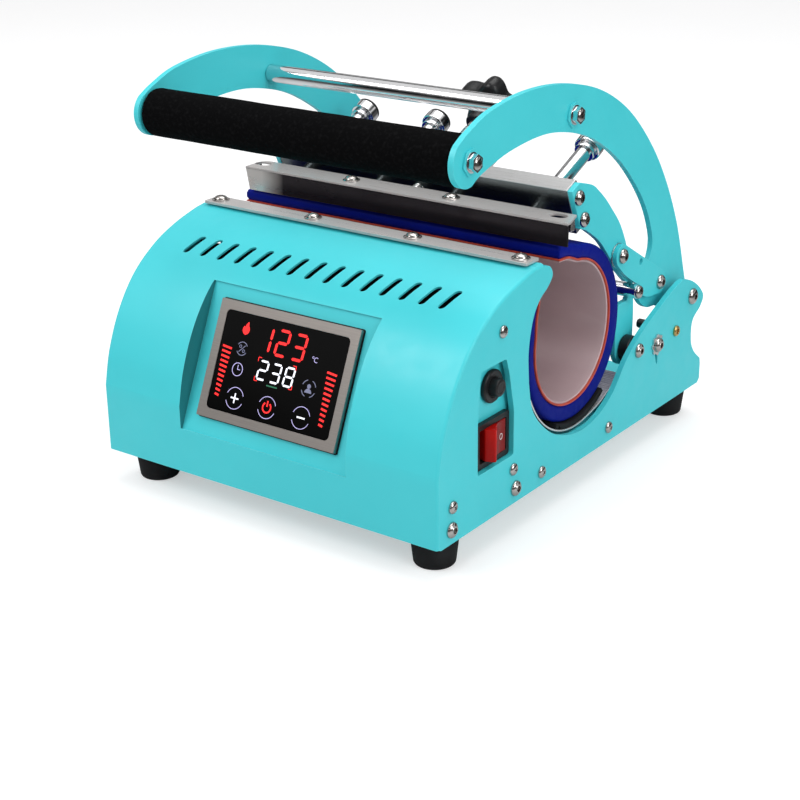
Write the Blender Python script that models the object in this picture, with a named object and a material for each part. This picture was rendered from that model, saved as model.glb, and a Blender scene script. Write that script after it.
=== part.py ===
"""Mug heat press: sheet-metal body, wrap-around heater mat and a toggle clamp with a bail handle.

Metres, +Z up. The front cover faces -Y and the switches are on the +X side. The origin is on the
ground, midway between the side plates and midway between the front and rear edges. Side views are
drawn in millimetres as (distance behind the front edge, height above the ground).
"""
import math

import bmesh
import bpy
from mathutils import Matrix, Vector

MM = 0.001
GAP = 0.3                      # clearance between pieces that touch, mm

# Driving dimensions, mm
HALF_WIDTH = 140.0             # centre to the outer face of a side plate
DEPTH = 350.0                  # front edge to rear edge of the side plates
FOOT_HEIGHT = 23.0
PLATE = 4.0                    # side plates and arms
SHEET = 1.6                    # cover, base and panels
HALF_MAT = 133.0               # half length of the heater mat
HALF_STRIP = 135.0             # half length of the front clamp strip

# Joint axes and linkage pivots in the side view, mm
HANDLE_PIVOT = (330.0, 97.0)
CLAMP_PIVOT = (249.7, 78.8)
LINK_LOW = (235.0, 151.0)      # link pin on the inner arm
LINK_HIGH = (292.5, 117.0)     # link pin on the handle arm
CROSS_ROD = (252.5, 121.0)     # rod that joins the inner arms and stops the links
TIE_ROD = (171.0, 260.9)
GRIP_AXIS = (52.4, 254.6)
ARM_OUTER = 128.0              # outer face of the handle arms and inner arms
LINK_INNER = 129.0             # inner face of the link plates
LINK_THICK = 3.4

# Pressure head: guide rods and screw run square to the crossbar, rising to the rear
HEAD_TILT = math.radians(24.0)
HEAD_CENTRE = (185.0, 193.7)   # middle of the crossbar's section
BAR_NEAR = -5.5                # front and rear faces of the crossbar along the rods
BAR_FAR = 7.8
BAR_ABOVE = 20.0               # crossbar section above and below the rod centres
BAR_BELOW = 15.8
ROD_START = -22.5              # front ends of the guide rods and screw, from the middle of the crossbar
GUIDE_ROD_X = (-97.0, -32.0, 32.0, 97.0)

# Heater mat: an oval open at the top
MAT_CENTRE = (172.1, 113.1)
MAT_HALF_DEPTH = 59.6
MAT_HALF_HEIGHT = 61.2
JACKET = 11.2                  # mean thickness
JACKET_BULGE = 3.2             # added behind and below, taken off in front and above
JACKET_BULGE_ANGLE = math.radians(-30.0)
LINER = 2.0

# Display recess: a flat slanted panel in the curved cover
RECESS_HALF = 70.0
RECESS_LOW = (0.0, 56.0)
RECESS_HIGH = (41.0, 148.5)
BEZEL_HALF = 58.0
BEZEL_SPAN = (12.3, 92.1)      # along the slant from the lower edge of the recess
GLASS_HALF = 51.5
GLASS_SPAN = (18.6, 85.7)

# Switch window in the right side plate
WINDOW = [(44.0, 58.0), (85.5, 58.0), (85.5, 89.0), (79.5, 116.0), (76.0, 126.5), (47.0, 126.5), (44.0, 93.0)]

ROUND = 16                     # facets round a small pin or screw
ROUND_LARGE = 24


# ---------------------------------------------------------------- materials
def material(name, colour, roughness, metallic=0.0):
    made = bpy.data.materials.get(name)
    if made:
        return made
    made = bpy.data.materials.new(name)
    made.use_nodes = True
    shader = made.node_tree.nodes["Principled BSDF"]
    shader.inputs["Base Color"].default_value = (*colour, 1.0)
    shader.inputs["Roughness"].default_value = roughness
    shader.inputs["Metallic"].default_value = metallic
    made.diffuse_color = (*colour, 1.0)
    return made


def turquoise():
    return material("turquoise_paint", (0.09, 0.62, 0.68), 0.4)


def stainless():
    return material("stainless", (0.66, 0.65, 0.64), 0.3, 1.0)


def chrome():
    return material("chrome", (0.8, 0.8, 0.8), 0.12, 1.0)


def black_plastic():
    return material("black_plastic", (0.02, 0.02, 0.02), 0.45)


def black_rubber():
    return material("black_rubber", (0.015, 0.015, 0.016), 0.8)


def black_foam():
    return material("black_foam", (0.012, 0.012, 0.012), 0.95)


def blue_jacket():
    return material("blue_jacket", (0.01, 0.025, 0.30), 0.55)


def grey_liner():
    return material("grey_liner", (0.36, 0.28, 0.29), 0.6)


def red_plastic():
    return material("red_plastic", (0.65, 0.03, 0.03), 0.3)


def dark_glass():
    return material("dark_glass", (0.01, 0.01, 0.012), 0.08)


def brass():
    return material("brass", (0.65, 0.48, 0.22), 0.3, 1.0)


def board_green():
    return material("board_green", (0.02, 0.18, 0.07), 0.5)


# ---------------------------------------------------------------- outlines, in mm
def arc(centre, radius, start, end, steps, radius_v=None):
    """Points of an arc, angles in degrees, end point included."""
    high = radius if radius_v is None else radius_v
    points = []
    for i in range(steps + 1):
        angle = math.radians(start + (end - start) * i / steps)
        points.append((centre[0] + radius * math.cos(angle), centre[1] + high * math.sin(angle)))
    return points


def circle(centre, radius, steps=ROUND):
    return arc(centre, radius, 0, 360, steps)[:-1]


def smooth(points, steps):
    """Catmull-Rom curve through the points, both end points included."""
    padded = [points[0], *points, points[-1]]
    curve = []
    for i in range(1, len(padded) - 2):
        a, b, c, d = (Vector(p) for p in padded[i - 1:i + 3])
        for k in range(steps):
            t = k / steps
            bend = (c - a) * t + (2 * a - 5 * b + 4 * c - d) * t ** 2 + (3 * b - a - 3 * c + d) * t ** 3
            curve.append(tuple(b + bend / 2))
    curve.append(tuple(points[-1]))
    return curve


def offset(path, distance):
    """An open path moved sideways; a positive distance, or one worked out per point, moves it left."""
    moved = []
    for i, point in enumerate(path):
        shift = distance(point) if callable(distance) else distance
        before = Vector(path[max(i - 1, 0)])
        after = Vector(path[min(i + 1, len(path) - 1)])
        along = (after - before).normalized()
        moved.append((point[0] - along.y * shift, point[1] + along.x * shift))
    return moved


def band(path, near, far):
    """Closed outline of a strip between two offsets of a path."""
    return offset(path, near) + offset(path, far)[::-1]


# ---------------------------------------------------------------- solids
def to_world(x, depth, height):
    return Vector((x * MM, (depth - DEPTH / 2) * MM, height * MM))


def finish(name, bm, paint, pivot=None, smooth_angle=None):
    """Make the named object; a pivot (x, depth, height) becomes the object's origin."""
    bmesh.ops.remove_doubles(bm, verts=bm.verts, dist=1e-6)
    bmesh.ops.recalc_face_normals(bm, faces=bm.faces)
    origin = to_world(*pivot) if pivot else Vector((0.0, 0.0, 0.0))
    bmesh.ops.translate(bm, verts=bm.verts, vec=-origin)
    mesh = bpy.data.meshes.new(name)
    bm.to_mesh(mesh)
    bm.free()
    mesh.materials.append(paint)
    if smooth_angle:
        mesh.shade_smooth()
        mesh.set_sharp_from_angle(angle=math.radians(smooth_angle))
    made = bpy.data.objects.new(name, mesh)
    made.location = origin
    bpy.context.scene.collection.objects.link(made)
    return made


def add_plate(bm, outline, x_low, x_high, holes=()):
    """Sheet cut to a side-view outline with holes, between two x positions."""
    edges = []
    for loop in (outline, *holes):
        verts = [bm.verts.new(to_world(x_low, *point)) for point in loop]
        for i, vert in enumerate(verts):
            edges.append(bm.edges.new((vert, verts[(i + 1) % len(verts)])))
    filled = bmesh.ops.triangle_fill(bm, edges=edges, use_beauty=True, use_dissolve=False)
    faces = [item for item in filled["geom"] if isinstance(item, bmesh.types.BMFace)]
    grown = bmesh.ops.extrude_face_region(bm, geom=faces)
    moved = [item for item in grown["geom"] if isinstance(item, bmesh.types.BMVert)]
    bmesh.ops.translate(bm, verts=moved, vec=((x_high - x_low) * MM, 0.0, 0.0))
    bmesh.ops.reverse_faces(bm, faces=faces)


def plate(name, outline, x_low, x_high, paint, holes=(), pivot=None, smooth_angle=30):
    bm = bmesh.new()
    add_plate(bm, outline, x_low, x_high, holes)
    return finish(name, bm, paint, pivot, smooth_angle)


def add_turned(bm, profile, base, axis, steps=ROUND):
    """Solid of revolution: (radius, distance) pairs along an axis from a base point, all in mm."""
    direction = Vector(axis).normalized()
    turn = Vector((0.0, 0.0, 1.0)).rotation_difference(direction).to_matrix()
    start = to_world(*base)
    rings = []
    for radius, distance in profile:
        if radius == 0.0:
            rings.append([bm.verts.new(start + direction * distance * MM)])
            continue
        ring = []
        for i in range(steps):
            angle = 2 * math.pi * i / steps
            spoke = turn @ Vector((math.cos(angle), math.sin(angle), 0.0))
            ring.append(bm.verts.new(start + (spoke * radius + direction * distance) * MM))
        rings.append(ring)
    for low, high in zip(rings, rings[1:]):
        join_rings(bm, low, high, steps)


def join_rings(bm, low, high, steps):
    for i in range(steps):
        k = (i + 1) % steps
        if len(low) == 1:
            bm.faces.new((low[0], high[i], high[k]))
        elif len(high) == 1:
            bm.faces.new((low[k], low[i], high[0]))
        else:
            bm.faces.new((low[i], low[k], high[k], high[i]))


def turned(name, profile, base, axis, paint, steps=ROUND, pivot=None):
    bm = bmesh.new()
    add_turned(bm, profile, base, axis, steps)
    return finish(name, bm, paint, pivot, 40)


def block(name, low, high, paint, bevel=0.0, pivot=None):
    """Box between two corners (x, depth, height) in mm, with its edges rounded by a bevel."""
    bm = bmesh.new()
    size = Vector(high) - Vector(low)
    middle = (Vector(high) + Vector(low)) / 2
    place = Matrix.Translation(to_world(*middle)) @ Matrix.Diagonal((*(size * MM), 1.0))
    bmesh.ops.create_cube(bm, size=1.0, matrix=place)
    if bevel:
        bmesh.ops.bevel(bm, geom=bm.edges, offset=bevel * MM, segments=1, affect="EDGES")
    return finish(name, bm, paint, pivot)


def cut(target, tools, operation="DIFFERENCE"):
    """Boolean modifiers on a target; the tools stay as hidden wire guides."""
    for tool in tools:
        tool.hide_render = True
        tool.display_type = "WIRE"
        modifier = target.modifiers.new(tool.name, "BOOLEAN")
        modifier.operation = operation
        modifier.solver = "EXACT"
        modifier.object = tool
    return target


def bore(name, centre, radius, x_low, x_high):
    """Round cutter along X."""
    profile = [(0.0, 0.0), (radius, 0.0), (radius, x_high - x_low), (0.0, x_high - x_low)]
    return turned(name, profile, (x_low, *centre), (1, 0, 0), stainless())


def head_point(distance, rise=0.0):
    """Side-view point of the pressure head: along the guide rods, and square to them."""
    along = Vector((math.cos(HEAD_TILT), math.sin(HEAD_TILT)))
    across = Vector((-math.sin(HEAD_TILT), math.cos(HEAD_TILT)))
    return tuple(Vector(HEAD_CENTRE) + along * distance + across * rise)


HEAD_AXIS = (0.0, math.cos(HEAD_TILT), math.sin(HEAD_TILT))
SIDES = (("right", 1), ("left", -1))


def mirrored(side, x_low, x_high):
    """The x range of a piece on the +X side, or of its twin on the -X side."""
    return (x_low, x_high) if side > 0 else (-x_high, -x_low)


# ---------------------------------------------------------------- body
def cover_curve():
    """Outer face of the front cover in the side view, from its lower edge to the clamp strip."""
    front = [(0.0, FOOT_HEIGHT + 1.0), (0.0, 72.0)]
    bend = smooth([(0.0, 72.0), (6.0, 96.0), (18.0, 122.0), (35.0, 144.0), (57.0, 160.0),
                   (79.0, 169.5), (101.0, 175.5)], 3)
    return front + bend[1:] + [(118.0, 177.5)]


def side_plate_outline():
    """Side plate: front under the cover, oval cut for the mat, ear round the handle pivot."""
    front = offset(cover_curve(), -(SHEET + GAP))
    tip = smooth([front[-1], (126.0, 173.5), (129.5, 167.0), (124.0, 160.5), (114.0, 154.0),
                  (106.5, 143.0), (102.0, 123.0), (103.0, 101.0)], 2)
    oval = smooth([(103.0, 101.0), (108.0, 81.0), (122.0, 64.5), (141.0, 52.0), (166.0, 45.0),
                   (190.0, 46.5), (213.0, 57.0), (233.0, 77.0), (256.0, 92.0), (291.0, 107.0)], 3)
    ear = smooth([(291.0, 107.0), (314.0, 113.5), (334.0, 106.5), (348.5, 94.0), (345.5, 85.5),
                  (333.5, 77.0), (332.5, 62.0), (338.0, 51.5), (DEPTH - 1.0, 42.5)], 3)
    rear = [(DEPTH, 38.0), (DEPTH, FOOT_HEIGHT + 3.0), (DEPTH - 3.0, FOOT_HEIGHT)]
    return front + tip[1:] + oval[1:] + ear[1:] + rear + [(front[0][0] + 2.0, FOOT_HEIGHT)]


BODY_BOLTS = [(15.0, 33.0), (88.0, 33.5)]
LIMIT_SCREW = (277.0, 75.0)
STOP_PIN = (306.0, 77.0)


def side_holes():
    pins = [(HANDLE_PIVOT, 4.3), (CLAMP_PIVOT, 4.3), (LIMIT_SCREW, 2.8), (STOP_PIN, 3.8)]
    pins += [(bolt, 3.3) for bolt in BODY_BOLTS]
    return [circle(centre, radius, 12) for centre, radius in pins]


def side_plates():
    for label, side in SIDES:
        holes = side_holes()
        if side > 0:
            holes.append(WINDOW)
        x_low, x_high = mirrored(side, HALF_WIDTH - PLATE, HALF_WIDTH)
        plate(f"side_plate_{label}", side_plate_outline(), x_low, x_high, turquoise(), holes)


def recess_frame():
    """Lower edge, direction up the slant and inward normal of the display recess."""
    low = Vector(RECESS_LOW)
    up = (Vector(RECESS_HIGH) - low).normalized()
    return low, up, Vector((up.y, -up.x))


def recess_point(distance, depth):
    low, up, inward = recess_frame()
    return tuple(low + up * distance + inward * depth)


def front_cover():
    """Curved sheet, with a tray sunk into it for the display and a row of vent slots."""
    curve = cover_curve()
    cover = plate("front_cover", band(curve, 0.0, -SHEET), -HALF_WIDTH, HALF_WIDTH, turquoise())
    middle = offset(curve, -SHEET / 2)
    inside = [point for point in middle if RECESS_LOW[1] + 3.0 < point[1] < RECESS_HIGH[1] - 3.0]
    length = (Vector(RECESS_HIGH) - Vector(RECESS_LOW)).length
    wall = RECESS_HALF + SHEET
    tray_outline = [recess_point(0.5, SHEET), recess_point(length - 0.5, SHEET), *inside[::-1]]
    tray = plate("recess_tray_guide", tray_outline, -wall, wall, turquoise())
    void_outline = [recess_point(0.0, 0.0), recess_point(length, 0.0), recess_point(length, -30.0),
                    recess_point(0.0, -30.0)]
    void = plate("recess_void_guide", void_outline, -RECESS_HALF, RECESS_HALF, turquoise())
    cut(cover, [tray], "UNION")
    cut(cover, [void, vent_slots()])
    return cover


VENT_COUNT = 15
VENT_PITCH = 15.2
VENT_LOW = (55.0, 158.0)
VENT_HIGH = (71.0, 166.5)


def vent_slots():
    """One cutter for a row of round-ended slots through the top of the cover."""
    low = Vector(VENT_LOW)
    up = (Vector(VENT_HIGH) - low).normalized()
    outward = Vector((-up.y, up.x))
    length = (Vector(VENT_HIGH) - low).length
    radius = 2.6
    lean = 0.28
    bm = bmesh.new()
    for index in range(VENT_COUNT):
        x_middle = (index - (VENT_COUNT - 1) / 2) * VENT_PITCH
        loop = arc((0.0, radius), radius, 180, 360, 4) + arc((0.0, length - radius), radius, 0, 180, 4)
        verts = []
        for across, rise in loop:
            point = low + up * rise - outward * 8.0
            verts.append(bm.verts.new(to_world(x_middle + across + lean * (rise - length / 2), *point)))
        face = bm.faces.new(verts)
        grown = bmesh.ops.extrude_face_region(bm, geom=[face])
        moved = [item for item in grown["geom"] if isinstance(item, bmesh.types.BMVert)]
        push = Vector((0.0, outward.x, outward.y)) * 16.0 * MM
        bmesh.ops.translate(bm, verts=moved, vec=push)
    return finish("vent_guide", bm, turquoise())


def base_plate():
    """Flat sheet with a flange up each side; the body bolts pass through the flanges."""
    half = HALF_WIDTH - PLATE - GAP
    floor = FOOT_HEIGHT + GAP
    front, rear = 5.0, DEPTH - 4.0
    bm = bmesh.new()
    section = [(-half, floor), (half, floor), (half, 44.0), (half - SHEET, 44.0),
               (half - SHEET, floor + SHEET), (SHEET - half, floor + SHEET), (SHEET - half, 44.0),
               (-half, 44.0)]
    verts = [bm.verts.new(to_world(x, front, height)) for x, height in section]
    grown = bmesh.ops.extrude_face_region(bm, geom=[bm.faces.new(verts)])
    moved = [item for item in grown["geom"] if isinstance(item, bmesh.types.BMVert)]
    bmesh.ops.translate(bm, verts=moved, vec=(0.0, (rear - front) * MM, 0.0))
    base = finish("base_plate", bm, turquoise())
    reach = HALF_WIDTH + 5.0
    drills = [bore(f"bolt_bore_guide_{i}", bolt, 3.3, -reach, reach) for i, bolt in enumerate(BODY_BOLTS)]
    return cut(base, drills)


REAR_PANEL_DEPTH = 246.0
REAR_PANEL_TOP = 59.5


def rear_panel():
    """Cross panel behind the cradle, with an opening for the mains inlet."""
    half = HALF_WIDTH - PLATE - GAP - SHEET - GAP
    low = FOOT_HEIGHT + GAP + SHEET + GAP
    panel = block("rear_panel", (-half, REAR_PANEL_DEPTH, low),
                  (half, REAR_PANEL_DEPTH + SHEET, REAR_PANEL_TOP), turquoise())
    x, height = INLET_CENTRE
    opening = block("inlet_guide", (x - 24.0, REAR_PANEL_DEPTH - 5.0, height - 11.5),
                    (x + 24.0, REAR_PANEL_DEPTH + 5.0, height + 11.5), black_plastic())
    return cut(panel, [opening])


INLET_CENTRE = (-78.0, 43.5)


def mains_inlet():
    """Inlet socket: a body through the panel, a flange behind it and a hollow mouth."""
    x, height = INLET_CENTRE
    body = block("mains_inlet", (x - 23.5, REAR_PANEL_DEPTH - 16.0, height - 11.0),
                 (x + 23.5, REAR_PANEL_DEPTH + SHEET + 3.0, height + 11.0), black_plastic())
    flange = block("inlet_flange_guide", (x - 28.0, REAR_PANEL_DEPTH + SHEET + GAP, height - 14.0),
                   (x + 28.0, REAR_PANEL_DEPTH + SHEET + 4.0, height + 14.0), black_plastic())
    mouth = block("inlet_mouth_guide", (x - 20.0, REAR_PANEL_DEPTH - 11.0, height - 8.0),
                  (x + 20.0, REAR_PANEL_DEPTH + 20.0, height + 8.0), black_plastic())
    cut(body, [flange], "UNION")
    return cut(body, [mouth])


FOOT_X = 119.0
FOOT_DEPTHS = (("front", 27.0), ("rear", 333.0))


def feet():
    """Tapered rubber feet, each with a soft lower edge and a screw pocket below."""
    profile = [(0.0, 4.0), (4.0, 4.0), (4.5, 0.0), (12.0, 0.0), (13.8, 1.8), (16.2, FOOT_HEIGHT - GAP),
               (0.0, FOOT_HEIGHT - GAP)]
    for place, depth in FOOT_DEPTHS:
        for label, side in SIDES:
            turned(f"foot_{place}_{label}", profile, (side * FOOT_X, depth, 0.0), (0, 0, 1),
                   black_rubber(), ROUND_LARGE)


def body_bolts():
    """Button-head bolts that fasten the side plates to the base."""
    profile = [(0.0, 0.0), (3.0, 0.0), (3.0, 8.0), (5.3, 8.0), (5.3, 8.9), (4.3, 10.6), (2.4, 11.4),
               (0.0, 11.6)]
    for label, side in SIDES:
        for number, bolt in enumerate(BODY_BOLTS, 1):
            start = HALF_WIDTH + GAP - 8.0
            turned(f"body_bolt_{label}_{number}", profile, (side * start, *bolt), (side, 0, 0), chrome())


def limit_screws():
    """Screw and washer that clamp the handle stop, one on each side."""
    profile = [(0.0, 0.0), (2.5, 0.0), (2.5, 8.0), (7.6, 8.0), (7.6, 9.2), (4.2, 9.2), (4.2, 10.4),
               (3.0, 11.8), (0.0, 12.0)]
    for label, side in SIDES:
        start = HALF_WIDTH + GAP - 8.0
        turned(f"limit_screw_{label}", profile, (side * start, *LIMIT_SCREW), (side, 0, 0), stainless())


def stop_pins():
    """Brass pins through the side plates, below the handle arms."""
    profile = [(0.0, 0.0), (2.8, 0.0), (3.5, 0.7), (3.5, 31.0), (4.6, 31.0), (4.6, 33.0), (3.4, 34.4),
               (0.0, 34.6)]
    for label, side in SIDES:
        start = HALF_WIDTH + GAP - 31.0
        turned(f"stop_pin_{label}", profile, (side * start, *STOP_PIN), (side, 0, 0), brass())


def pivot_bolts():
    """Each pivot: a bolt with its spacer bush between the arm and the side plate."""
    inner = ARM_OUTER - PLATE
    bush_low = ARM_OUTER + GAP - inner + 4.0
    bush_high = HALF_WIDTH - PLATE - GAP - inner + 4.0
    head = HALF_WIDTH + GAP - inner + 4.0
    profile = [(0.0, 0.0), (7.0, 0.0), (7.0, 4.0 - GAP), (4.0, 4.0 - GAP), (4.0, bush_low), (9.6, bush_low),
               (9.6, bush_high), (4.0, bush_high), (4.0, head), (6.2, head), (6.2, head + 1.0),
               (5.0, head + 2.8), (2.8, head + 3.7), (0.0, head + 3.9)]
    for name, centre in (("handle_pivot_bolt", HANDLE_PIVOT), ("clamp_pivot_bolt", CLAMP_PIVOT)):
        for label, side in SIDES:
            base = (side * (inner - 4.0), *centre)
            turned(f"{name}_{label}", profile, base, (side, 0, 0), stainless())


# ---------------------------------------------------------------- controls
def display():
    """Bezel frame in the recess, glass in the frame, and the control board behind the panel."""
    frame_outline = [recess_point(BEZEL_SPAN[0], -GAP), recess_point(BEZEL_SPAN[1], -GAP),
                     recess_point(BEZEL_SPAN[1], -2.0), recess_point(BEZEL_SPAN[0], -2.0)]
    bezel = plate("display_bezel", frame_outline, -BEZEL_HALF, BEZEL_HALF, stainless())
    opening = [recess_point(GLASS_SPAN[0], 1.0), recess_point(GLASS_SPAN[1], 1.0),
               recess_point(GLASS_SPAN[1], -6.0), recess_point(GLASS_SPAN[0], -6.0)]
    cut(bezel, [plate("display_opening_guide", opening, -GLASS_HALF, GLASS_HALF, stainless())])
    pane = [recess_point(GLASS_SPAN[0] + GAP, -GAP), recess_point(GLASS_SPAN[1] - GAP, -GAP),
            recess_point(GLASS_SPAN[1] - GAP, -1.7), recess_point(GLASS_SPAN[0] + GAP, -1.7)]
    plate("display_glass", pane, GAP - GLASS_HALF, GLASS_HALF - GAP, dark_glass())
    board = [recess_point(20.0, SHEET + 6.0), recess_point(88.0, SHEET + 6.0),
             recess_point(88.0, SHEET + 7.6), recess_point(20.0, SHEET + 7.6)]
    plate("control_board", board, -50.0, 50.0, board_green())


SWITCH_LOW = (46.5, 58.7)
SWITCH_HIGH = (84.5, 89.0)
ROCKER_AXIS = (131.2, 66.8, 74.0)
ROCKER_TILT = math.radians(17.0)
ROCKER_HALF_HEIGHT = 11.0
BREAKER_CENTRE = (67.5, 110.0)
BREAKER_FACE = 136.6
BRACKET_FACE = 133.3


def switch_bracket():
    """Hat-section sheet behind the window that carries the switch and the breaker."""
    outer = HALF_WIDTH - PLATE - GAP
    back = BRACKET_FACE - 1.4
    bm = bmesh.new()
    section = [(outer, 31.0), (outer, 40.0), (BRACKET_FACE, 42.0), (BRACKET_FACE, 89.0), (outer, 91.0),
               (outer, 99.0), (outer - 1.4, 99.0), (outer - 1.4, 91.6), (back, 89.6), (back, 41.4),
               (outer - 1.4, 39.4), (outer - 1.4, 31.0)]
    low, high = 50.0, 128.0
    verts = [bm.verts.new(to_world(x, depth, low)) for x, depth in section]
    grown = bmesh.ops.extrude_face_region(bm, geom=[bm.faces.new(verts)])
    moved = [item for item in grown["geom"] if isinstance(item, bmesh.types.BMVert)]
    bmesh.ops.translate(bm, verts=moved, vec=(0.0, 0.0, (high - low) * MM))
    bracket = finish("switch_bracket", bm, turquoise())
    opening = block("switch_cut_guide", (120.0, SWITCH_LOW[0] + 2.5, SWITCH_LOW[1] + 1.5),
                    (140.0, SWITCH_HIGH[0] - 2.5, SWITCH_HIGH[1] - 1.5), black_plastic())
    return cut(bracket, [opening, bore("breaker_cut_guide", BREAKER_CENTRE, 8.4, 120.0, 140.0)])


def switch_housing():
    """Rocker switch frame in the window: a flange, a body behind it and a well for the rocker."""
    low = (BRACKET_FACE + GAP, *SWITCH_LOW)
    high = (137.0, *SWITCH_HIGH)
    housing = block("switch_housing", low, high, black_plastic(), 0.5)
    body = block("switch_body_guide", (108.0, SWITCH_LOW[0] + 2.9, SWITCH_LOW[1] + 1.9),
                 (135.5, SWITCH_HIGH[0] - 2.9, SWITCH_HIGH[1] - 1.9), black_plastic())
    well = block("switch_well_guide", (117.0, SWITCH_LOW[0] + 4.2, SWITCH_LOW[1] + 3.8),
                 (142.0, SWITCH_HIGH[0] - 3.0, SWITCH_HIGH[1] - 3.8), black_plastic())
    cut(housing, [body], "UNION")
    return cut(housing, [well])


def rocker_button():
    """Rocker: a shallow V seen from above, tilting about an upright axis, front half standing out."""
    x, depth, height = ROCKER_AXIS
    section = [(-11.8, 2.5), (-11.0, 9.4), (-9.5, 9.8), (0.0, 7.4), (9.5, 9.8), (11.0, 9.4), (11.8, 2.5),
               (8.0, -4.0), (-8.0, -4.0)]
    cos, sin = math.cos(ROCKER_TILT), math.sin(ROCKER_TILT)
    bm = bmesh.new()
    verts = []
    for along, out in section:
        place = (x + out * cos - along * sin, depth + along * cos + out * sin, height - ROCKER_HALF_HEIGHT)
        verts.append(bm.verts.new(to_world(*place)))
    grown = bmesh.ops.extrude_face_region(bm, geom=[bm.faces.new(verts)])
    moved = [item for item in grown["geom"] if isinstance(item, bmesh.types.BMVert)]
    bmesh.ops.translate(bm, verts=moved, vec=(0.0, 0.0, 2 * ROCKER_HALF_HEIGHT * MM))
    return finish("rocker_button", bm, red_plastic(), ROCKER_AXIS)


def breaker():
    """Round breaker above the switch, with a reset button in its collar."""
    start = BREAKER_FACE - 26.0
    collar = BRACKET_FACE + GAP - start
    shell = [(0.0, 0.0), (8.0, 0.0), (8.0, collar), (11.0, collar), (11.0, 25.2), (10.2, 26.0), (6.4, 26.0),
             (6.4, 10.0), (0.0, 10.0)]
    turned("breaker_body", shell, (start, *BREAKER_CENTRE), (1, 0, 0), black_plastic(), ROUND_LARGE)
    knob = [(0.0, 0.0), (6.0, 0.0), (6.0, 17.6), (5.2, 18.6), (0.0, 18.8)]
    base = (start + 13.0, *BREAKER_CENTRE)
    turned("breaker_button", knob, base, (1, 0, 0), black_plastic(), ROUND_LARGE,
           (BREAKER_FACE, *BREAKER_CENTRE))


# ---------------------------------------------------------------- heater
def mat_path():
    """Outer face of the mat: down from the front strip, round the oval and forward under the clamp bar."""
    start = [(114.8, 170.5), (115.5, 160.0), (117.0, 150.0), (114.5, 138.0)]
    oval = arc(MAT_CENTRE, MAT_HALF_DEPTH, 168, 446, 30, MAT_HALF_HEIGHT)
    top = [oval[-1], (163.0, 178.4), (149.2, 178.9)]
    return smooth([*start, oval[0]], 2)[:-1] + oval + smooth(top, 2)[1:]


def inner_face(extra):
    """Distance from the mat's outer face to its inner face, plus an extra, at a point of the path."""
    def distance(point):
        angle = math.atan2(point[1] - MAT_CENTRE[1], point[0] - MAT_CENTRE[0])
        return JACKET + JACKET_BULGE * math.cos(angle - JACKET_BULGE_ANGLE) + extra
    return distance


def heater():
    path = mat_path()
    plate("heater_mat", band(path, 0.0, inner_face(0.0)), -HALF_MAT, HALF_MAT, blue_jacket())
    liner = band(path[1:], inner_face(GAP), inner_face(GAP + LINER))
    plate("heater_liner", liner, -HALF_MAT, HALF_MAT, grey_liner())


PAD = 4.0
TRAY_SPACING = PAD + 2 * GAP
TRAY_FLARE = 8.0               # extra distance between mat and tray behind
FLARE_START = math.radians(-80.0)
FLARE_RUN = math.radians(45.0)
TRAY_THICK = 1.2


def tray_face(extra):
    """Distance from the mat out to the tray, plus an extra; the tray opens away from the mat at the rear."""
    def distance(point):
        angle = math.atan2(point[1] - MAT_CENTRE[1], point[0] - MAT_CENTRE[0])
        share = min(1.0, max(0.0, (angle - FLARE_START) / FLARE_RUN))
        return -(TRAY_SPACING + TRAY_FLARE * share * share * (3 - 2 * share) + extra)
    return distance


def cradle():
    """Polished tray under the mat, with a soft pad between them."""
    under = arc(MAT_CENTRE, MAT_HALF_DEPTH, 246, 306, 8, MAT_HALF_HEIGHT)
    half = HALF_WIDTH - PLATE - 1.0
    plate("cradle_pad", band(under, -GAP, -GAP - PAD), -half, half, black_foam())
    bowl = arc(MAT_CENTRE, MAT_HALF_DEPTH, 205, 322, 16, MAT_HALF_HEIGHT)
    tray = band(bowl, tray_face(0.0), tray_face(TRAY_THICK))
    plate("cradle_tray", tray, -half, half, stainless())


STRIP_FRONT = 105.5
STRIP_REAR = 121.0
STRIP_UNDER = 177.9
STRIP_SCREW_X = (-126.0, -42.0, 42.0, 126.0)


def front_clamp_strip():
    """Strip that holds the mat's front edge on the cover, with four screw holes."""
    strip = block("front_clamp_strip", (-HALF_STRIP, STRIP_FRONT, STRIP_UNDER),
                  (HALF_STRIP, STRIP_REAR, STRIP_UNDER + 1.8), stainless())
    middle = (STRIP_FRONT + STRIP_REAR) / 2
    rod = [(0.0, 0.0), (3.0, 0.0), (3.0, 12.0), (0.0, 12.0)]
    drills = []
    for number, x in enumerate(STRIP_SCREW_X, 1):
        drills.append(turned(f"strip_bore_guide_{number}", rod, (x, middle, STRIP_UNDER - 6.0), (0, 0, 1),
                             stainless(), 12))
        screw = [(0.0, 0.0), (2.6, 0.0), (2.6, 2.0 + GAP), (5.2, 2.0 + GAP), (5.0, 3.6), (3.2, 4.7),
                 (0.0, 4.9)]
        turned(f"strip_screw_{number}", screw, (x, middle, STRIP_UNDER + GAP - 0.2), (0, 0, 1), chrome())
    return cut(strip, drills)


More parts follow.
